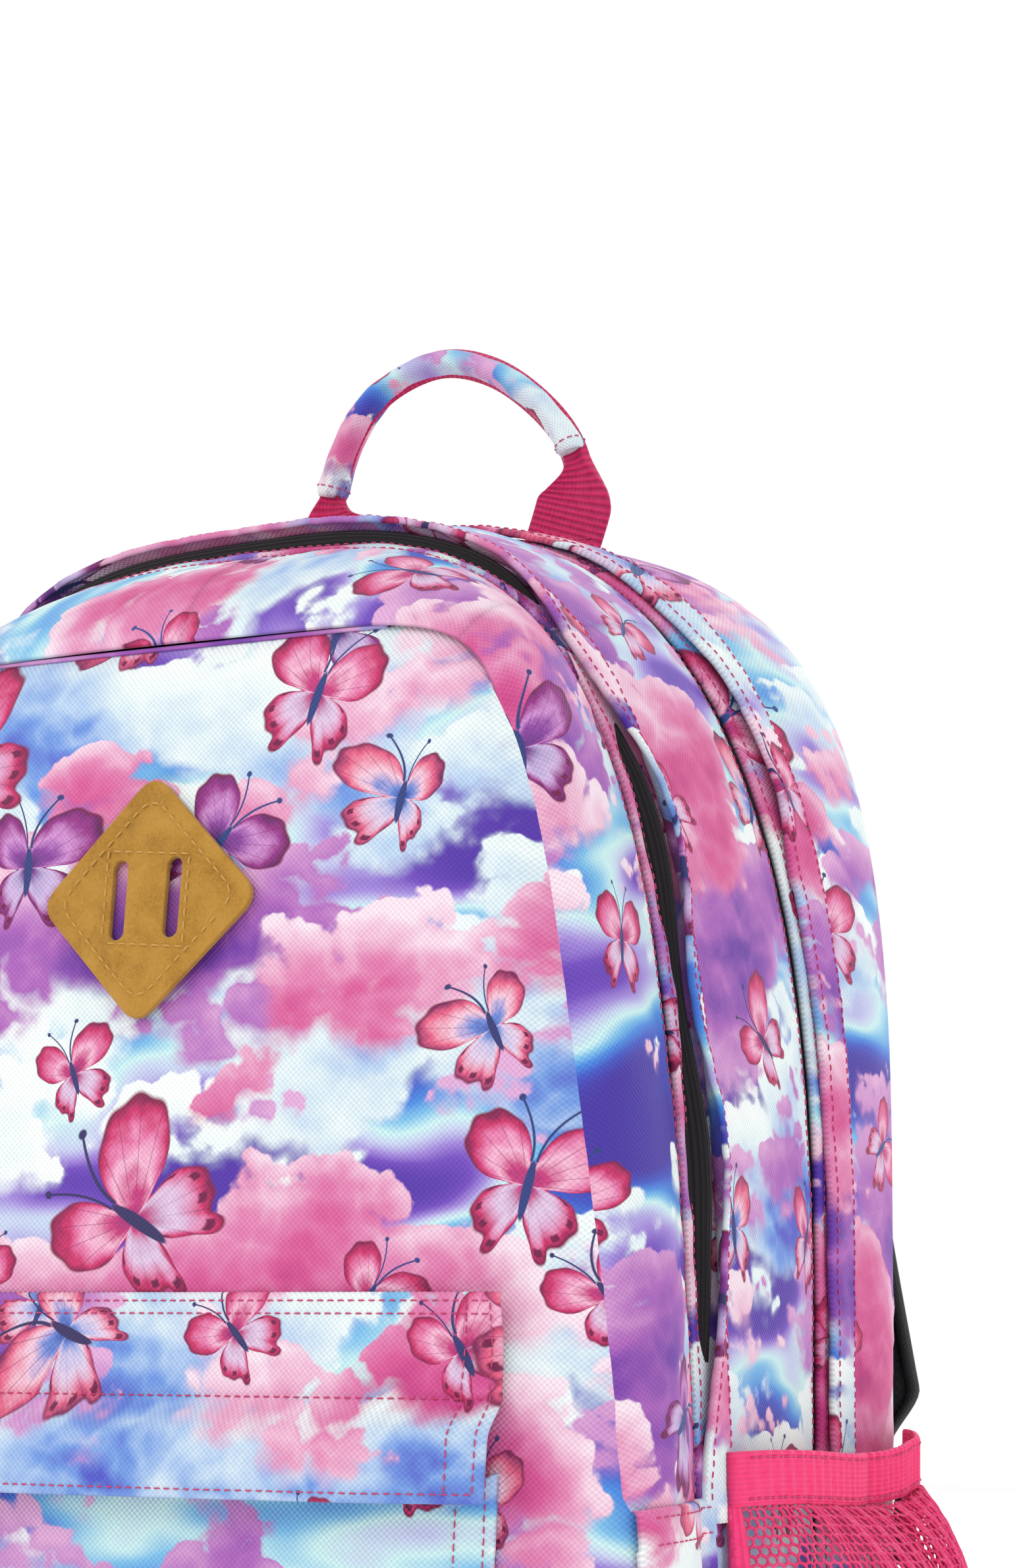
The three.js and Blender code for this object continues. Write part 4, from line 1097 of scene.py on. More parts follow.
def build_storm_flaps():
    """A doubled flap sewn behind each zipper, its free front edge standing off the coil."""
    for name, k, seed, shift in (("front", 1, 71, (330, 410)), ("main", 2, 81, (700, 330))):
        w0, w1 = W_FLAP_END, 1 - W_FLAP_END
        sewn = 18.0

        def height(w, t):
            """The outer face's height, its station and its distance from the free edge, with t from
            0 at the free edge to 1 at the sewn one."""
            lift, free = flap_shape(name, w)
            e = free + (sewn - free) * t
            run = run_length(w, k + e / STRIP[k])
            out = CLOTH + 2.2 + lift * (1 - smooth_step(t, 0, 0.85))
            out = out + 0.2 * ripple(run, e, seed + 1, 9)
            out = out - 1.5 * np.exp(-(sewn - e) / 0.8)
            return out - rounding(e - free, 0.85), k + e / STRIP[k], e - free

        t = spaced(0, 1, fine=(0, 0.012, 0.03, 0.06, 0.1, 0.16), step=0.1)
        w, t = np.meshgrid(w_lines(w0, w1, 2.0), t, indexing="ij")
        out, d, e = height(w, t)
        outer = skin(w, d, out)
        thick = 1.7 - rounding(e, 0.85) - 1.0 * np.exp(-(1 - t) * 13 / 0.8)
        inner = outer - skin_normal(w, d) * thick[..., None]
        flap = Builder(f"{name}_flap_cloth")
        flap.grid(outer, inner, np.stack([e + shift[0], run_length(w, d) + shift[1]], -1))
        line_w = w_lines(w0, w1, 2.0)[2:-2]
        for place in (0.18, 0.86):
            line_out, line_d, _ = height(line_w, np.full_like(line_w, place))
            flap.stitches(skin(line_w, line_d, line_out + 0.05), skin_normal(line_w, line_d))
        piece = flap.build([M["print"], M["thread"]])
        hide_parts(f"{name}_storm_flap")
        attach(piece, "bag")


# ------------------------------------------------------------------ front pocket
POCKET = {
    "half": 107.0, "low": 26.0, "flap": 167.0, "zip": 179.0, "stitch": 192.0, "top": 218.0, "belly": 8.0,
}


def pocket_face(x, z):
    across = 1 - np.abs(x / POCKET["half"]) ** 8
    up = 1 - np.abs((2 * z - POCKET["top"] - POCKET["low"]) / (POCKET["top"] - POCKET["low"])) ** 4
    return front_face(x, z) - GAP - POCKET["belly"] * np.maximum(0, across) * np.maximum(0, up)


def pocket_sheet(name, zs, offset, shift, thick, rows):
    """Cloth on the front pocket. offset(x, z) is its outer face's height over the pocket's skin, and
    rows are stitched lines, each an array of (x, z)."""
    half = POCKET["half"]
    at = lambda a, b: np.stack([a, pocket_face(a, b) - offset(a, b), b], -1)
    xs = np.unique(half - spaced(0, 2 * half, step=4.0))
    x, z = np.meshgrid(xs, zs, indexing="ij")
    outer = at(x, z)
    normal = grid_normals(outer, (0, -1, 0))
    inner = outer - normal * thick
    cloth = Builder(name)
    cloth.grid(outer, inner, np.stack([x + shift[0], z + shift[1]], -1))
    for row in rows:
        px, pz = row[:, 0], row[:, 1]
        h = 0.4
        up = unit(np.cross(at(px + h, pz) - at(px - h, pz), at(px, pz + h) - at(px, pz - h)))
        up = np.where((up[:, 1] > 0)[:, None], -up, up)
        cloth.stitches(at(px, pz) + up * 0.08, up)
    return cloth.build([M["print"], M["thread"]])


def line(p0, p1, count=80):
    t = np.linspace(0, 1, count)[:, None]
    return np.array(p0, float) * (1 - t) + np.array(p1, float) * t


def build_pocket():
    half, low, top = POCKET["half"], POCKET["low"], POCKET["top"]
    lip = POCKET["zip"] - 5

    def panel_height(x, z):
        edge = half - np.abs(x)
        out = CLOTH + 0.6 * ripple(x, z, 91, 60) * smooth_step(edge, 0, 25) * smooth_step(z - low, 0, 25)
        out = out + 0.3 * ripple(x, z, 92, 9) * (np.exp(-edge / 7) + np.exp(-(z - low) / 7))
        out = out + 0.6 * (1 - smooth_step(edge, 9.5, 10.5)) + 0.5 * (1 - smooth_step(lip - z, 6, 7))
        return out - rounding(edge, 1.0) - rounding(z - low, 1.0) - rounding(lip - z, 0.9)

    zs = spaced(low, lip, step=3.5)
    insets = (STITCH_INSET, SECOND_INSET)
    sides = [s * (half - e) for s in (-1, 1) for e in insets]
    levels = [low + e for e in insets] + [lip - 2.4]
    rows = [line((x, low + 2), (x, lip - 1), 120) for x in sides]
    rows += [line((-half + 2, z), (half - 2, z), 160) for z in levels]
    panel = pocket_sheet("pocket_cloth", zs, panel_height, (120, 560), 1.2, rows)
    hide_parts("pocket_panel")
    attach(panel, "bag")

    # The hood and the flap are one doubled sheet, sewn down above the zipper and loose below.
    hinge, bottom = POCKET["stitch"], POCKET["flap"]

    def hood_height(x, z):
        edge = half - np.abs(x)
        stand = 7.8 - 1.2 * smooth_step(x, 66, 96)
        out = CLOTH + 0.9 + stand * smooth_step(hinge - z, 0, 9.5)
        out = out + 0.5 * ripple(x, z, 95, 48) * smooth_step(top - z, 0, 12)
        out = out + 0.8 * ripple(x, 0 * x, 97, 60) * smooth_step(hinge - z, 4, 20)
        out = out - 0.5 * np.exp(-(((z - hinge) / 1.2) ** 2))
        out = out + 0.3 * ripple(x, z, 96, 9) * np.exp(-np.abs(z - hinge) / 6)
        out = out + 0.5 * (1 - smooth_step(edge, 9.5, 10.5))
        out = out + 3.2 * np.exp(-(((x - half) / 9) ** 2 + ((z - top) / 9) ** 2))
        return out - rounding(edge, 1.1) - rounding(top - z, 1.1) - rounding(z - bottom, 1.1)

    zs = np.unique(np.concatenate([spaced(bottom, hinge, step=2.0), spaced(hinge, top, step=2.5)]))
    levels = (top - STITCH_INSET, top - 5.4, hinge, bottom + 2.4)
    rows = [line((-half + 2, z), (half - 2, z), 160) for z in levels]
    rows += [line((x, bottom + 1), (x, top - 1), 60) for x in sides]
    hood = pocket_sheet("pocket_hood_cloth", zs, hood_height, (520, 300), 1.9, rows)
    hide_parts("pocket_hood", "pocket_flap")
    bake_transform(hood)

    zip_z = POCKET["zip"]
    xs = np.linspace(-95, 95, 90)
    x, z = np.meshgrid(xs, np.linspace(zip_z - 8, zip_z + 8, 9), indexing="ij")
    outer = np.stack([x, pocket_face(x, z) + 1.95, z], -1)
    tape = Builder("pocket_zip_tape")
    tape.grid(outer, outer + [0, 0.9, 0], np.stack([z, x], -1))
    piece = tape.build([M["tape"]])
    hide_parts("pocket_zipper_tape")
    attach(piece, "bag")
    xs = np.linspace(-93, 93, 460)
    turns = np.arange(7) / 6 * math.pi
    tooth = 0.6 + 0.4 * np.abs(np.sin(xs * math.pi / COIL_PITCH))[:, None]
    x = np.broadcast_to(xs[:, None], (len(xs), 7))
    radius = 1.3
    z = zip_z + np.cos(turns)[None, :] * radius * tooth
    y = pocket_face(x, z) + 1.6 - np.sin(turns)[None, :] * radius * tooth
    coil = Builder("pocket_zip_coil")
    coil.tube(np.stack([x, y, z], -1), np.stack([z, x], -1))
    piece = coil.build([M["coil"]])
    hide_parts("pocket_zipper_coil")
    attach(piece, "bag")


# ------------------------------------------------------------------ lash tab
def build_lash_tab():
    half_x, half_z, round_by = 32.5, 33.5, 6.0
    corners = np.array([[half_x, 0], [0, half_z], [-half_x, 0], [0, -half_z]])

    def diamond(inset):
        """The rounded diamond's outline, moved inwards."""
        out = []
        shrink = 1 - inset / (half_x * half_z / math.hypot(half_x, half_z))
        for n in range(4):
            here = corners[n] * shrink
            back = unit((corners[n - 1] * shrink - here)[None])[0] * round_by
            ahead = unit((corners[(n + 1) % 4] * shrink - here)[None])[0] * round_by
            for t in np.linspace(0, 1, 9):
                start, end = (1 - t) ** 2 * (here + back), t**2 * (here + ahead)
                out.append(start + 2 * t * (1 - t) * here + end)
        return np.array(out)

    def slot_outline(cx, radius, half_long):
        out = []
        for cz, start in ((half_long, 0), (-half_long, math.pi)):
            for a in np.linspace(start, start + math.pi, 10):
                out.append([cx + radius * math.cos(a), cz + radius * math.sin(a)])
        return np.array(out)

    curve = bpy.data.curves.new("tab", "CURVE")
    curve.dimensions = "2D"
    curve.fill_mode = "BOTH"
    for outline in [diamond(0), slot_outline(-8.1, 2.5, 8.5), slot_outline(8.1, 2.5, 8.5)]:
        spline = curve.splines.new("POLY")
        spline.points.add(len(outline) - 1)
        for point, (px, pz) in zip(spline.points, outline):
            point.co = (px, pz, 0, 1)
        spline.use_cyclic_u = True
    curve.extrude = 0.7
    curve.bevel_depth = 0.32
    curve.bevel_resolution = 2
    shell = add_object("tab", curve)
    mesh = bpy.data.meshes.new_from_object(evaluated(shell))
    bpy.data.objects.remove(shell)
    flat = vertex_array(mesh)
    faces = [list(p.vertices) for p in mesh.polygons]
    tilt = math.atan2(float(front_face(0, 345) - front_face(0, 295)), 50)
    middle = np.array([0, float(front_face(0.0, 320.0)) - 2.0, 320])
    curl = lambda a, b: -0.0012 * (a**2) * 0.8 + 0.25 * ripple(a, b, 5, 40)

    def set_up(a, b, c):
        """From the tab's own plane (a across, b up, c out) to the bag."""
        out = c + curl(a, b)
        y = middle[1] - out * math.cos(tilt) + b * math.sin(tilt)
        z = middle[2] + out * math.sin(tilt) + b * math.cos(tilt)
        return np.stack([a, y, z], -1)

    tab = Builder("lash_tab_suede")
    verts = set_up(flat[:, 0], flat[:, 1], flat[:, 2])
    tab.add(verts, faces, flat[:, :2], 0)
    outer_row = diamond(4.0)
    inner_row = np.array([[-12.4, -11.2], [12.2, -13.4], [12.4, 11.2], [-12.2, 13.4]])
    for row in (outer_row, inner_row):
        row = dense(np.concatenate([row, row[:1]]))
        path = set_up(row[:, 0], row[:, 1], 1.02 + 0 * row[:, 0])
        up = np.tile([0, -math.cos(tilt), math.sin(tilt)], (len(row), 1))
        tab.stitches(path, up, 1, 3.4, 2.5, 0.3)
    piece = tab.build([M["suede"], M["tan_thread"]])
    mesh = piece.data
    mesh.polygons.foreach_set("use_smooth", [len(p.vertices) == 4 for p in mesh.polygons])
    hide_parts("lash_tab")
    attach(piece, "bag")


def dense(path, step=0.6):
    """A path with points step mm apart."""
    arc = arc_lengths(path)
    return sample(path, arc, np.arange(0, arc[-1], step))


# ------------------------------------------------------------------ mesh bottle pockets
MESH_D = (1.14, 2.93)
SEWN_ON = 2 * CLOTH + GAP


def mesh_height(s, f):
    """The mesh's height over the skin: s from its base to the elastic, f from front to back."""
    across = np.maximum(0, np.sin(np.pi * f)) ** 0.7
    sag = np.maximum(0, np.sin(np.pi * np.clip(s, 0, 1) ** 2.1)) ** 0.8
    gathers = 1.2 * np.sin(2 * np.pi * (13 * f + 0.35 * ripple(f * 200, 0 * f, 7, 60))) * s**3 * across
    folds = 1.6 * ripple(f * 190, s * 150, 8, 55) * across * smooth_step(s, 0, 0.3)
    return SEWN_ON + 0.6 + (12 + 27 * sag) * across * np.minimum(1, s * 6) + gathers + folds


def mouth_dip(f):
    return 3.5 * np.maximum(0, np.sin(np.pi * f)) ** 2 - 2.5 * f


def build_mesh_pockets():
    per_mm = W_BAND / BAND_TALL
    for side, sign in (("right", 1), ("left", -1)):
        share = lambda w: w if sign > 0 else 1 - w

        def place(s, f, extra=0.0):
            top = W_MESH_TOP - W_BAND - mouth_dip(f) * per_mm
            w = share(W_MESH_LOW + (top - W_MESH_LOW) * s)
            return skin(w, MESH_D[0] + (MESH_D[1] - MESH_D[0]) * f, mesh_height(s, f) + extra)

        tall, wide, pitch = 150.0, 178.0, 2.7
        rise = pitch * math.sqrt(3) / 2
        verts, faces, seen = [], [], {}

        def corner(a, b):
            key = (round(a, 2), round(b, 2))
            if key not in seen:
                seen[key] = len(verts)
                verts.append((b, a))
            return seen[key]

        rows, cols = int(tall / rise), int(wide / pitch)
        r = pitch / math.sqrt(3)
        turns = [math.pi / 6 + k * math.pi / 3 for k in range(6)]
        for j in range(rows):
            for i in range(cols):
                ca = (i + 0.5 * (j % 2) + 0.25) * pitch + 1
                cb = (j + 0.5) * rise + 1
                ring = [(ca + r * math.cos(turn), cb + r * math.sin(turn)) for turn in turns]
                if all(0 <= a <= wide and 0 <= b <= tall for a, b in ring):
                    faces.append([corner(a, b) for a, b in ring])
        flat = np.array(verts)
        points = place(flat[:, 0] / tall, flat[:, 1] / wide)
        mesh = bpy.data.meshes.new("net")
        mesh.from_pydata((points * MM).tolist(), [], faces)
        net = add_object("net", mesh)
        wire = net.modifiers.new("wire", "WIREFRAME")
        wire.thickness = 1.1 * MM
        wire.use_even_offset = False
        wire.use_boundary = True
        solid = bpy.data.meshes.new_from_object(evaluated(net))
        bpy.data.objects.remove(net)
        co = vertex_array(solid) / MM
        net_faces = [list(p.vertices) for p in solid.polygons]

        cloth = Builder(f"mesh_cloth_{side}")
        cloth.add(co, net_faces, co[:, 1:], 0)
        # A bound edge closes the mesh on its front, rear and lower sides.
        for f0, f1, s0, s1 in ((0, 0.014, 0, 1), (0.986, 1, 0, 1), (0, 1, 0, 0.02)):
            columns = 60 if f1 - f0 > 0.5 else 5
            s, f = np.meshgrid(np.linspace(s0, s1, 60), np.linspace(f0, f1, columns), indexing="ij")
            outer, inner = place(s, f, 0.9), place(s, f, -0.6)
            cloth.grid(outer, inner, np.stack([f * wide, s * tall], -1), 1)
        piece = cloth.build([M["mesh"], M["elastic"]])
        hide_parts(f"mesh_pocket_{side}")
        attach(piece, "bag")

        band = Builder(f"elastic_cloth_{side}")

        def band_place(t, f, extra):
            top = W_MESH_TOP - mouth_dip(f) * per_mm
            w = share(top - (BAND_TALL - t) * per_mm)
            across = np.maximum(0, np.sin(np.pi * f)) ** 0.7
            ruck = 0.35 * np.sin(2 * np.pi * 34 * f) + 0.5 * ripple(f * 190, 0 * f, 9, 24)
            d = MESH_D[0] + (MESH_D[1] - MESH_D[0]) * f
            return skin(w, d, SEWN_ON + 0.7 + 12 * across + ruck * np.minimum(1, across * 2) + extra)

        t, f = np.meshgrid(spaced(-1.0, BAND_TALL, step=2), np.linspace(0, 1, 260), indexing="ij")
        edge = np.minimum(t + 1.0, BAND_TALL - t)
        outer = band_place(t, f, 1.5 - rounding(edge, 1.0))
        inner = band_place(t, f, -0.3 + rounding(edge, 1.0) * 0.5)
        band.grid(outer, inner, np.stack([t, f * 190], -1))
        for row in (0.9, 11.2):
            ff = np.linspace(0.02, 0.98, 200)
            path = band_place(row + 0 * ff, ff, 1.55)
            up = unit(band_place(row + 0 * ff, ff, 2.5) - path)
            band.stitches(path, up, 1, 2.7, 2.1, 0.26)
        piece = band.build([M["elastic"], M["thread"]])
        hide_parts(f"pocket_elastic_{side}")
        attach(piece, "bag")


# ------------------------------------------------------------------ handle
def spline(points, count):
    """A smooth curve through points (uniform Catmull-Rom), evenly spaced, and its length."""
    p = np.array(points, float)
    p = np.concatenate([[2 * p[0] - p[1]], p, [2 * p[-1] - p[-2]]])
    out = []
    for i in range(1, len(p) - 2):
        p0, p1, p2, p3 = p[i - 1 : i + 3]
        t = np.linspace(0, 1, 40, endpoint=False)[:, None]
        square = (2 * p0 - 5 * p1 + 4 * p2 - p3) * t**2
        cube = (3 * p1 - p0 - 3 * p2 + p3) * t**3
        out.append(0.5 * (2 * p1 + (p2 - p0) * t + square + cube))
    out = np.concatenate(out + [p[-2][None]])
    arc = arc_lengths(out)
    return sample(out, arc, np.linspace(0, arc[-1], count)), arc[-1]


def frames_along(path):
    """Across and up vectors along a path whose flat side faces the back, +Y."""
    tangent = unit(np.gradient(path, axis=0))
    across = unit(np.cross(tangent, np.broadcast_to([0.0, 1.0, 0.0], tangent.shape)))
    return across, unit(np.cross(across, tangent))


def band_along(builder, path, width, thick, curl):
    """A webbing band. width and curl (half the angle it is rolled through) vary along it."""
    across, up = frames_along(path)
    arc = arc_lengths(path)
    a = np.sin(np.linspace(-1, 1, 17) * math.pi / 2)[None, :]
    bend = np.broadcast_to(np.maximum(curl, 0.02), len(path))[:, None]
    radius = (width / 2)[:, None] / bend
    side = radius * np.sin(a * bend)
    rise = radius * (np.cos(a * bend) - 1) + (radius * (1 - np.cos(bend))) * 0.5
    edge = (1 - np.abs(a)) * (width / 2)[:, None]
    across, up = across[:, None, :], up[:, None, :]
    centre = path[:, None, :] + across * side[..., None] + up * rise[..., None]
    out = np.cos(a * bend)[..., None] * up + np.sin(a * bend)[..., None] * across
    thick = np.broadcast_to(np.asarray(thick, float).reshape(-1, 1), edge.shape)
    half = (thick / 2 - rounding(edge, 0.7) * 0.8)[..., None]
    u, v = np.broadcast_arrays(arc[:, None], a * (width / 2)[:, None])
    builder.grid(centre + out * half, centre - out * half, np.stack([u, v], -1))


WEBBING = 25.0
HANDLE = {"y": 95.0, "base": 442.5, "from": 0.16, "to": 0.82}
ARCH = (
    (-34, 0), (-41, 13), (-42, 25), (-34.5, 45), (-22.5, 57), (-4, 62.5),
    (14, 57.5), (30, 45), (40, 31), (41.5, 18), (36, 0),
)


def crossways(middle):
    """A line across a webbing, for a row of stitches."""
    return middle + np.array([1.0, 0, 0]) * np.linspace(-11, 11, 30)[:, None]


def build_handle():
    y, base = HANDLE["y"], HANDLE["base"]
    arch = [(x, y, base + z) for x, z in ARCH]
    path, length = spline(arch, 300)
    feet = [(-32, y - 1.6, base - 8), (34, y - 1.6, base - 8)]
    band, whole = spline([feet[0], *arch, feet[1]], 320)
    s = (np.linspace(0, whole, len(band)) - 8.4) / length
    rolled = smooth_step(np.minimum(s, 1 - s), 0.08, HANDLE["from"] + 0.008)
    webbing = Builder("handle_webbing_band")
    width = WEBBING - 17.0 * rolled
    band_along(webbing, band, width, 1.6 + 1.6 * rolled, 0.12 + 0.5 * rolled)
    for at in (0.018, 0.982):
        n = int(at * (len(path) - 1))
        row = crossways(path[n]) + [0, -0.95, 0]
        webbing.stitches(row, np.tile([[0, -1.0, 0]], (30, 1)))
    piece = webbing.build([M["webbing"], M["thread"]])
    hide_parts("handle_webbing")
    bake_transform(piece)

    s = np.linspace(0, 1, len(path))
    cover = Builder("handle_cover_cloth")
    keep = (s > HANDLE["from"] - 0.003) & (s < HANDLE["to"] + 0.003)
    run = path[keep]
    across, up = frames_along(run)
    angles = turn_angles(48)
    arc = np.linspace(0, 1, len(run)) * length * (HANDLE["to"] - HANDLE["from"])
    a, u = np.meshgrid(angles, arc)
    puff = 1 + 0.06 * ripple(u, a * 6, 15, 24) + 0.035 * ripple(u, a * 6, 16, 8)
    near_end = np.minimum(arc, arc[-1] - arc)[:, None]
    lip = 1 - 0.16 * np.exp(-near_end / 0.9) + 0.05 * np.exp(-(((near_end - 3) / 2) ** 2))
    wide = 3.7 + 1.0 * (1 - smooth_step(arc, 0, 34)) + 0.5 * smooth_step(arc, arc[-1] - 22, arc[-1])
    seam = 1 - 0.05 * np.exp(-(((a - math.pi * 1.15) / 0.1) ** 2))
    rx, ry = wide[:, None] * puff * lip * seam, 5.9 * puff * lip * seam
    rings = run[:, None] + across[:, None] * (rx * np.cos(a))[..., None]
    rings = rings + up[:, None] * (ry * np.sin(a))[..., None]
    cover.tube(rings, np.stack([a * 6 + 80, u + 640], -1))
    for place in (2.6, arc[-1] - 2.6):
        n = int(np.argmin(np.abs(arc - place)))
        ring = dense(np.concatenate([rings[n], rings[n, :1]]), 0.4)
        out = unit(ring - run[n])
        cover.stitches(ring + out * 0.1, out)
    piece = cover.build([M["print"], M["thread"]])
    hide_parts("handle_cover")
    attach(piece, "haul_handle")


# ------------------------------------------------------------------ back and straps
def build_back():
    x, z, edge = rings_of(BACK_SEAM, 4.0, 70, 400)
    pads = smooth_step(np.abs(x), 6, 16) * smooth_step(edge, 8, 24)
    for channel in (120, 215, 310):
        dip = 1 - np.exp(-(((z - channel - 0.0009 * x**2) / 6) ** 2))
        pads = pads * (0.35 + 0.65 * dip)
    y = BACK_SEAM.y + 3 + BACK_CROWN * crown(BACK_SEAM, x, z) + CLOTH
    y = y - 2.5 + 3.4 * pads - 2.2 * np.exp(-edge / 3) + 0.25 * ripple(x, z, 51, 26)
    near = np.stack([x, y, z], -1)
    far = np.stack([x, np.full_like(x, BACK_SEAM.y - 2.6), z], -1)
    back = Builder("back_pad")
    back.disc(near, far, np.stack([x, z], -1))
    piece = back.build([M["air_mesh"]])
    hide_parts("back_panel", "back_foam")
    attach(piece, "bag")

    ws = w_lines(W_BASE, 1 - W_BASE, 2.5)
    centre = BACK_SEAM.place(ws)
    centre[:, 1] = 93.4
    out = skin_normal(ws, np.full_like(ws, 2.99))
    angles = turn_angles(14)
    run = run_length(ws, np.full_like(ws, 2.99))
    radius = 1.4 + 0.08 * ripple(run, 0 * ws, 52, 14)
    rings = centre[:, None] + out[:, None] * (radius[:, None] * np.cos(angles) - 2.7)[..., None]
    rings = rings + np.array([0, 1, 0]) * (radius[:, None] * np.sin(angles))[..., None]
    piping = Builder("piping_cord")
    a, u = np.meshgrid(angles, run)
    piping.tube(rings, np.stack([a * 2, u], -1))
    piece = piping.build([M["black"]])
    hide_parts("back_piping")
    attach(piece, "bag")

    xs, zs = spaced(-88, 88, step=4), spaced(413, 429, step=2)
    x, z = np.meshgrid(xs, zs, indexing="ij")
    edge = np.minimum(88 - np.abs(x), np.minimum(z - 413, 429 - z))
    x = x * 0.82
    y = 100.6 + 0.25 * ripple(x, z, 53, 18) - rounding(edge, 1.1)
    under = np.stack([x, 98.7 + rounding(edge, 1.0) * 0.6, z], -1)
    yoke = Builder("yoke_cloth")
    yoke.grid(np.stack([x, y, z], -1), under, np.stack([x, z], -1))
    for zz in (415.5, 426.5):
        row = line((-70, 0, zz), (70, 0, zz), 90)
        row[:, 1] = 100.7 + 0.25 * ripple(row[:, 0], row[:, 2], 53, 18)
        yoke.stitches(row, np.tile([[0, 1.0, 0]], (90, 1)))
    piece = yoke.build([M["black"], M["black_thread"]])
    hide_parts("strap_yoke")
    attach(piece, "bag")


STRAP_POINTS = (
    (49.5, 100.2, 421), (50.5, 102.4, 412), (52, 105.4, 404), (60, 117, 380), (78, 130, 335),
    (94, 127, 285), (104.5, 112.5, 240), (114.5, 107.5, 195), (120.5, 106.2, 168),
)


def turn_angles(count):
    return 2 * np.pi * np.arange(count) / count


def strap_path(sign):
    return spline([(sign * x, y, z) for x, y, z in STRAP_POINTS], 150)[0]


def pad_width(s):
    necked = smooth_step(s, 0.935, 1) + 0.9 * (1 - smooth_step(s, 0, 0.2))
    return 58 - 4 * s - 26 * necked


def pad_rings(path, width, low, high):
    """Closed, round-cornered cross-sections of a pad between two heights over a path."""
    across, up = frames_along(path)
    a = turn_angles(40)
    square = lambda v, p: np.sign(v) * np.abs(v) ** p
    side = square(np.cos(a), 0.55)[None, :] * (width / 2)[:, None]
    high = high[:, None]
    rise = (low + high) / 2 + square(np.sin(a), 0.7)[None, :] * (high - low) / 2
    return path[:, None] + across[:, None] * side[..., None] + up[:, None] * rise[..., None]


def puffed(rings, cap):
    """Swells a pad with a short cloth simulation, and returns its mesh's points and faces in mm."""
    shell = Builder("pad_shell")
    shell.tube(rings, np.zeros((*rings.shape[:2], 2)))
    thing = shell.build([])
    remesh = thing.modifiers.new("remesh", "REMESH")
    remesh.mode = "VOXEL"
    remesh.voxel_size = 0.003
    mesh = bpy.data.meshes.new_from_object(evaluated(thing))
    thing.modifiers.clear()
    thing.data = mesh
    start = vertex_array(mesh)
    cloth = thing.modifiers.new("cloth", "CLOTH")
    cloth.settings.quality = 5
    cloth.settings.mass = 0.2
    cloth.settings.tension_stiffness = 18
    cloth.settings.compression_stiffness = 18
    cloth.settings.bending_stiffness = 1.5
    cloth.settings.use_pressure = True
    cloth.settings.uniform_pressure_force = 4
    cloth.settings.effector_weights.gravity = 0
    last_step = 20
    cloth.point_cache.frame_start, cloth.point_cache.frame_end = 1, last_step
    for step in range(1, last_step + 1):
        SCENE.frame_set(step)
    end = vertex_array(evaluated(thing).to_mesh())
    thing.modifiers.clear()
    SCENE.frame_set(1)
    shift = end - start
    far = np.maximum(np.linalg.norm(shift, axis=1, keepdims=True), 1e-9)
    start = start + shift * np.minimum(1, cap * MM / far)
    faces = [list(p.vertices) for p in mesh.polygons]
    bpy.data.objects.remove(thing)
    return start / MM, faces


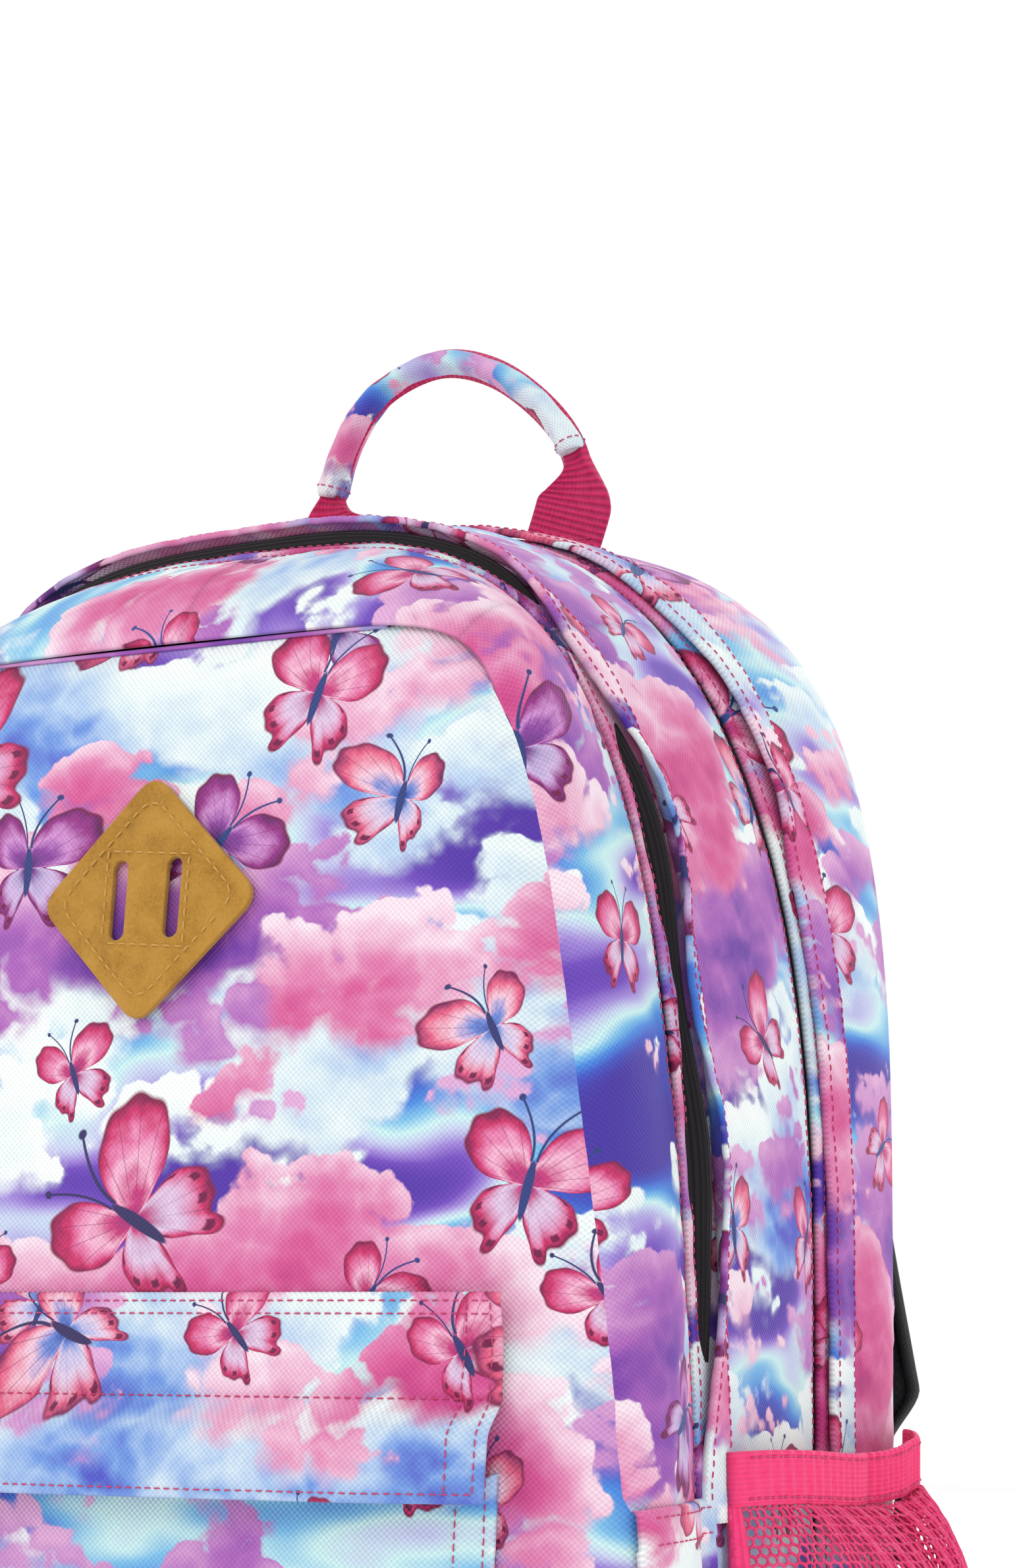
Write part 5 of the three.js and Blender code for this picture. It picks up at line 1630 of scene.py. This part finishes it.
def build_straps():
    path = strap_path(1)
    s = np.linspace(0, 1, len(path))
    high = 5.0 + 2.6 * smooth_step(s, 0, 0.12)
    rings = pad_rings(path, pad_width(s) - 1.2, 0.9, high)
    points, faces = puffed(rings, 1.2)
    for side, sign in (("right", 1), ("left", -1)):
        body = f"strap_{side}"
        mirror = np.array([sign, 1, 1])
        pad = Builder(f"strap_pad_{side}")
        turned = faces if sign > 0 else [f[::-1] for f in faces]
        pad.add(points * mirror, turned, points[:, [0, 2]], 0)
        run = strap_path(sign)
        across, up = frames_along(run)
        # A bound edge runs down each side of the pad.
        width = pad_width(s)
        for edge in (-1, 1):
            middle = run + across * (edge * (width / 2 - 1.9))[:, None] + up * (high / 2 + 0.4)[:, None]
            a = turn_angles(10)
            ring = middle[:, None] + across[:, None] * (1.7 * np.cos(a))[None, :, None]
            ring = ring + up[:, None] * ((high / 2 - 0.4)[:, None] * np.sin(a))[..., None]
            grid_a, grid_u = np.meshgrid(a, s * 260)
            pad.tube(ring, np.stack([grid_a * 2, grid_u], -1), 1)
            row = run + across * (edge * (width / 2 - 4.6))[:, None] + up * (high + 0.5)[:, None]
            pad.stitches(row[6:-6], up[6:-6], 2)
        obj = pad.build([M["air_mesh"], M["black"], M["black_thread"]])
        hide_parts(f"strap_cover_{side}", f"strap_foam_{side}", f"strap_lining_{side}")
        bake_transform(obj)

        webbing_line = ((121.3, 158), (122, 130), (123, 90), (124, 30))
        lower, _ = spline([(sign * x, 106.75, z) for x, z in webbing_line], 90)
        webbing = Builder(f"strap_webbing_band_{side}")
        band_along(webbing, lower, np.full(len(lower), WEBBING), 1.5, np.full(len(lower), 0.05))
        obj = webbing.build([M["black_webbing"]])
        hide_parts(f"strap_webbing_{side}")
        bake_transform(obj)

        tail_line = ((121.5, 117.6, 149), (121.7, 118.5, 130), (122, 119, 100), (122, 117.5, 72))
        tail, _ = spline([(sign * x, y + 0.75, z) for x, y, z in tail_line], 70)
        loose = Builder(f"strap_tail_band_{side}")
        curl = 0.05 + 0.1 * np.linspace(0, 1, len(tail))
        band_along(loose, tail, np.full(len(tail), WEBBING), 1.5, curl)
        t, x = np.meshgrid(np.linspace(0, 1, 8), np.linspace(-12.2, 12.2, 9), indexing="ij")
        hem = tail[-9:-1][:, None] + np.array([1, 0, 0]) * x[..., None]
        loose.grid(hem + [0, 2.0, 0], hem + [0, 0.8, 0], np.stack([t * 8, x], -1))
        row = crossways(tail[-8]) + [0, 2.05, 0]
        loose.stitches(row, np.tile([[0, 1.0, 0]], (30, 1)), 1)
        obj = loose.build([M["black_webbing"], M["black_thread"]])
        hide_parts(f"strap_tail_{side}")
        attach(obj, f"tail_{side}")
        refined(f"ladder_lock_{side}", f"ladder_lock_frame_{side}", M["plastic"], body, 0.7)
        refined(f"strap_anchor_{side}", f"anchor_cloth_{side}", M["black"], "bag", 0.6)


def refined(node, name, material, body, bevel):
    """A copy of a hard CAD node with its flat faces merged and its edges rounded."""
    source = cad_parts[node].data
    bm = bmesh.new()
    bm.from_mesh(source)
    bmesh.ops.remove_doubles(bm, verts=bm.verts, dist=1e-6)
    bmesh.ops.dissolve_limit(bm, angle_limit=math.radians(1), verts=bm.verts, edges=bm.edges)
    sharp = [e for e in bm.edges if e.is_manifold and e.calc_face_angle(0) > math.radians(25)]
    bmesh.ops.bevel(
        bm, geom=sharp, offset=bevel * MM, segments=3, profile=0.6, affect="EDGES", clamp_overlap=True,
    )
    mesh = bpy.data.meshes.new(name)
    bm.to_mesh(mesh)
    bm.free()
    mesh.materials.append(material)
    mesh.polygons.foreach_set("use_smooth", [True] * len(mesh.polygons))
    # The UVs are the two longest directions of the node.
    co = vertex_array(mesh)
    axes = sorted(np.argsort(np.ptp(co, axis=0))[1:])
    set_uvs(mesh, co[:, axes])
    thing = add_object(name, mesh)
    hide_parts(node)
    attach(thing, body)


def build_hardware():
    for name in ("front_zip", "main_zip_upper", "main_zip_lower", "pocket_zip"):
        slider = f"{name}_slider"
        pull = f"{name}_pull"
        # The pocket's pull is fixed to its slider.
        pull_body = f"{slider}_body" if name == "pocket_zip" else f"{pull}_body"
        refined(slider, f"{slider}_casting", M["metal"], f"{slider}_body", 0.3)
        refined(pull, f"{pull}_plate", M["metal"], pull_body, 0.3)
    refined("base_panel", "base_cloth", M["print"], "bag", 0.8)
    for node, material in (("divider_panel", "lining"), ("back_lining", "lining"), ("base_board", "board")):
        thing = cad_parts[node]
        thing.data.materials.clear()
        thing.data.materials.append(M[material])


build_stage()
build_front_panel()
build_gussets()
build_zippers()
build_storm_flaps()
build_pocket()
build_lash_tab()
build_mesh_pockets()
build_handle()
build_back()
build_straps()
build_hardware()
